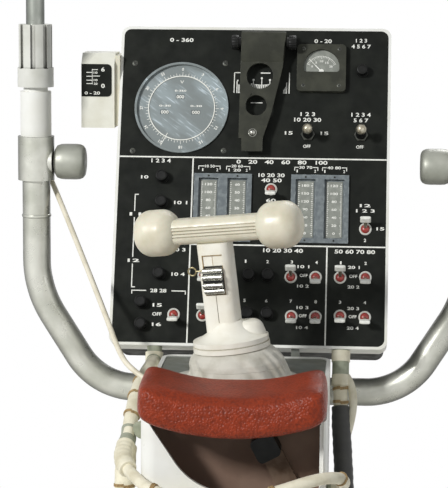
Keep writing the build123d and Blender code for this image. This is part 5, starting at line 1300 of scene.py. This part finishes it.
def make_pad():
    """Makes the pad: a rounded section carried along an arc and closed at its ends, then blown up as cloth.

    Section: |a|^p + |b|^p = 1 for the depth and the thickness. Along: the same curve draws the ends in.
    """
    sides, rows = 96, 81
    angle = full_turn(sides)
    ring = squared(angle, PAD_SQUARE)
    along = np.sin(np.linspace(-math.pi / 2, math.pi / 2, rows))[:, None]
    close = np.maximum(1 - np.abs(along) ** 16, 0) ** (1 / 5)
    half_deep, half_thick = (PAD_BACK - PAD_FRONT) / 2 - PAD_INSET, PAD_THICK / 2 - PAD_INSET
    from_middle = half_deep * close * ring * np.cos(angle)
    below = close * ring * np.sin(angle)
    across = along * (PAD_HALF - PAD_INSET) * (1 + PAD_FLARE * below)
    middle = PAD_TOP + PAD_THICK / 2
    height = PAD_AXIS - np.sqrt(middle ** 2 - across ** 2)
    height -= half_thick * below / np.sqrt(1 - (across / middle) ** 2)
    height += from_middle * math.tan(PAD_SLOPE) * np.clip(-below, 0, 1)
    points = np.stack([across, (PAD_FRONT + PAD_BACK) / 2 + from_middle, height], -1) * MM
    shell = (points.reshape(-1, 3), grid_faces(rows, sides))
    pad = piece("arm_pad_cover", [shell], "red_leather", replaces=("armrest_pad",), sharp=180)
    start = added("pad_start", pad.data.copy())
    remesh = start.modifiers.new("remesh", "REMESH")
    remesh.mode = "VOXEL"
    remesh.voxel_size = 3.5 * MM
    settle(start)
    before = mesh_points(start.data)
    cloth = start.modifiers.new("cloth", "CLOTH")
    cloth.settings.use_pressure = True
    cloth.settings.uniform_pressure_force = 3.0
    cloth.settings.effector_weights.gravity = 0
    for count in range(1, 21):
        bpy.context.scene.frame_set(count)
    settle(start)
    moved = mesh_points(start.data) - before
    size = np.maximum(np.linalg.norm(moved, axis=1, keepdims=True), 1e-9)
    moved *= np.minimum(1, bpy.context.scene.console_sizes.pad_swell / size)
    start.data.vertices.foreach_set("co", (before + moved).ravel())
    bpy.context.scene.frame_set(1)
    smooth = start.modifiers.new("smooth", "SMOOTH")
    smooth.factor = 0.5
    smooth.iterations = 3
    finer = start.modifiers.new("finer", "SUBSURF")
    finer.levels = finer.render_levels = 1
    settle(start)
    start.data.shade_smooth()
    pad.data = start.data
    pad.data.materials.clear()
    pad.data.materials.append(finish("red_leather"))
    bpy.data.objects.remove(start)


def mesh_points(mesh):
    """A mesh's points as rows of x, y and z."""
    points = np.empty(len(mesh.vertices) * 3)
    mesh.vertices.foreach_get("co", points)
    return points.reshape(-1, 3)


def settle(obj):
    """Applies an object's modifiers by taking its evaluated mesh."""
    bpy.context.view_layer.update()
    evaluated = obj.evaluated_get(bpy.context.evaluated_depsgraph_get())
    mesh = bpy.data.meshes.new_from_object(evaluated)
    obj.modifiers.clear()
    obj.data = mesh


# Boot: radius, height above the pivot, and how much of the stick's lean each ring takes
BOOT_LOWER = ((63, 35.3, 0), (56, 35.9, 0), (50.5, 37.6, 0.02), (47.2, 42, 0.12), (46.2, 47, 0.3),
              (45.6, 50, 0.42))
BOOT_UPPER = ((45.6, 50, 0.42), (44.6, 55, 0.62), (41.5, 60.5, 0.85), (37, 64.8, 1.0), (33, 67, 1.0),
              (29, 66.5, 1.0))


def boot_surface(profile, rows=40, sides=256):
    """Gathered cloth: rings from upright to the leaning stick, rippled by folds that fade at both rims."""
    profile = np.asarray(profile, float)
    step = np.linspace(0, len(profile) - 1, rows)
    whole = np.arange(len(profile))
    radius, height, lean = (np.interp(step, whole, column)[:, None] for column in profile.T)
    angle = full_turn(sides)[None, :]
    fade = np.clip((66.5 - height) / 10, 0, 1) * np.clip((height - 35.4) / 5, 0, 1)
    twist = angle + 0.22 * np.sin(2 * angle + 0.6) + (height - 50) * 0.012
    folds = 0.9 * np.sin(9 * twist) + 0.55 * np.sin(15 * twist + 1.3) + 0.35 * np.sin(23 * twist + 0.4)
    skirt = 2.2 * np.sin(7 * angle + 0.9) * np.clip((37 - height) / 2, 0, 1)
    radius = radius + fade * folds * 1.15 + skirt
    x, y = radius * np.cos(angle), radius * np.sin(angle)
    height = height + 0 * angle
    upright = np.stack([x + PIVOT[0], y + PIVOT[1], height + PIVOT[2]], -1) * MM
    leaning = on_stick(np.stack([x, y, height], -1))
    points = upright + lean[..., None] * (leaning - upright)
    return points.reshape(-1, 3), grid_faces(rows, sides)


def make_boot():
    """Makes the gathered cloth boot in two halves, one on each side of the gimbal."""
    lower = piece("boot_lower", [boot_surface(BOOT_LOWER)], "boot_cloth", None, "boot_cloth",
                  ("stick_boot",), False, 180)
    upper = piece("boot_upper", [boot_surface(BOOT_UPPER)], "boot_cloth", None, "boot_cloth", (), False, 180)
    for cloth in (lower, upper):
        points = mesh_points(cloth.data)
        map_layer = cloth.data.uv_layers.new(name="cloth")
        corners = np.empty(len(cloth.data.loops), dtype=int)
        cloth.data.loops.foreach_get("vertex_index", corners)
        angle = np.arctan2(points[:, 1] - PIVOT[1] * MM, points[:, 0])
        spots = np.stack([angle * 45 * MM, points[:, 2]], -1)[corners]
        map_layer.data.foreach_set("uv", spots.ravel())
        thick = cloth.modifiers.new("thickness", "SOLIDIFY")
        thick.thickness = 0.8 * MM
        thick.offset = -1
    settle(lower)
    settle(upper)
    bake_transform(lower)
    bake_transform(upper)


# the pitch scale's black plate: width, height and right corners, and how far it starts below the box's top
PITCH_PLATE = (31.4, 33.6, 4.5)
PITCH_DROP = 10.8
# the scale's ticks: left and right ends and how far down; its upright bar: left, right, down to and from
PITCH_TICKS = (
    (5.5, 11.3, 8.7), (5.5, 11.3, 12.7), (5.5, 11.3, 16.8), (5.5, 11.3, 20.3), (11.8, 17.4, 5.8),
    (11.8, 19.6, 12.4),
)
PITCH_BAR = (11.3, 11.8, -21, -5.2)
# low and high sides of the print, out from the plate
PITCH_PRINT = (0.62, 0.78)
# text, left and right ends, how far down its middle is and its height
PITCH_TEXT = (
    ("10", 13, 17, 8.9, 2.2), ("10", 13, 17, 16.6, 2.2), ("20", 13, 17, 20.4, 2.2),
    ("6", 20.8, 24.6, 5.5, 4.4),
    ("0", 20.8, 24.6, 22.5, 4.4), ("0 - 20", 3.5, 19.6, 30.0, 3.2),
)


def make_pitch_face():
    """Makes the pitch indicator's black scale plate, with rounded right corners, ticks and numerals."""
    low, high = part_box("pitch_indicator")
    side, front, top = low[0] / MM, low[1] / MM, high[2] / MM - PITCH_DROP
    wide, tall, corner = PITCH_PLATE
    outline = [(0, 0), (0, -tall), *arc_points(wide - corner, corner - tall, corner, 270, 360, 7),
               *arc_points(wide - corner, -corner, corner, 0, 90, 7)]
    points, faces = cut_plate([outline], 0.6)

    def stand(points):
        """Metres from x and y on the plate's front, from its top left corner, and z standing out of it."""
        return np.stack([side + points[:, 0], front - points[:, 2], top + points[:, 1]], -1) * MM

    def flat(points, extra):
        return stand(np.column_stack([points[:, :2], np.full(len(points), extra)]))
    piece("pitch_plate", [(stand(points + (0.2, 0, 0.05)), faces)], "panel_black", "pitch_indicator",
          "black_plastic")
    rows = [(left, right, -down - 0.35, 0.35 - down, *PITCH_PRINT) for left, right, down in PITCH_TICKS]
    marks, faces = boxes(rows + [(*PITCH_BAR, *PITCH_PRINT)])
    printed("pitch_marks", [(stand(marks), faces)], body="pitch_indicator")
    numerals = [(value, left, right, -down - tall / 2, tall / 2 - down, 0.72)
                for value, left, right, down, tall in PITCH_TEXT]
    printed("pitch_numerals", lettering(numerals, flat), False, "pitch_indicator")


class ConsoleColours(bpy.types.PropertyGroup):
    """Colours that a user may change before the pieces are made."""

    backdrop: bpy.props.FloatVectorProperty(
        name="Backdrop", description="Colour seen behind the console", subtype="COLOR", size=4,
        min=0, max=1, default=(1, 1, 1, 1))
    leather: bpy.props.FloatVectorProperty(
        name="Arm pad", description="Main colour of the arm pad's leatherette", subtype="COLOR", size=4,
        min=0, max=1, default=srgb("#8E3212"))


class ConsoleSizes(bpy.types.PropertyGroup):
    """Sizes of what the CAD model leaves to the dressing."""

    print_proud: bpy.props.FloatProperty(
        name="Print thickness", description="How far printed bars stand off the panel", default=0.12 * MM,
        subtype="DISTANCE", unit="LENGTH")
    pad_swell: bpy.props.FloatProperty(
        name="Pad swell", description="Most that the pad's cover moves as it is blown up", default=2.2 * MM,
        subtype="DISTANCE", unit="LENGTH")


def operator(name, label, work):
    """An operator class that runs one making function and is described by its first line."""
    def execute(self, context):
        work()
        return {"FINISHED"}
    return type("CONSOLE_OT_" + name, (bpy.types.Operator,),
                {"__doc__": work.__doc__.partition("\n")[0], "bl_idname": "console." + name,
                 "bl_label": label,
                 "execute": execute})


STEPS = (
    ("finishes", "Finishes", make_finishes),
    ("camera", "Camera", set_camera),
    ("cords", "Cords", make_cords),
    ("dress", "Dress the CAD nodes", dress_frame),
    ("stage", "Stage", set_stage),
    ("panel_print", "Panel print", make_panel_print),
    ("heading", "Heading dial", make_heading_dial),
    ("meters", "Meters", make_meters),
    ("switches", "Toggle switches", make_switches),
    ("balls", "Ball switches", make_ball_switches),
    ("breakers", "Circuit breakers", make_breakers),
    ("screws", "Screws", make_screws),
    ("case", "Case screws", make_case_screws),
    ("clamps", "Clamp knobs", make_clamps),
    ("flap", "Shadow flap", make_flap),
    ("ears", "Flap ears", make_flap_ears),
    ("slider", "Thumb drum", make_slider),
    ("pad", "Arm pad", make_pad),
    ("boot", "Stick boot", make_boot),
    ("pitch", "Pitch indicator", make_pitch_face),
)
OPERATORS = tuple(operator(*step) for step in STEPS)


class CONSOLE_PT_panel(bpy.types.Panel):
    """Lists the steps in the 3D view's sidebar."""

    bl_label = "Rover control console"
    bl_idname = "CONSOLE_PT_panel"
    bl_space_type = "VIEW_3D"
    bl_region_type = "UI"
    bl_category = "Console"

    def draw(self, context):
        for step in STEPS:
            self.layout.operator("console." + step[0])


CLASSES = (ConsoleColours, ConsoleSizes, *OPERATORS, CONSOLE_PT_panel)


def register():
    for entry in CLASSES:
        bpy.utils.register_class(entry)
    bpy.types.Scene.console_colours = bpy.props.PointerProperty(type=ConsoleColours)
    bpy.types.Scene.console_sizes = bpy.props.PointerProperty(type=ConsoleSizes)


def unregister():
    del bpy.types.Scene.console_sizes
    del bpy.types.Scene.console_colours
    for entry in reversed(CLASSES):
        bpy.utils.unregister_class(entry)


def main():
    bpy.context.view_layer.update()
    register()
    for step in STEPS:
        getattr(bpy.ops.console, step[0])()


if __name__ == "__main__":
    main()
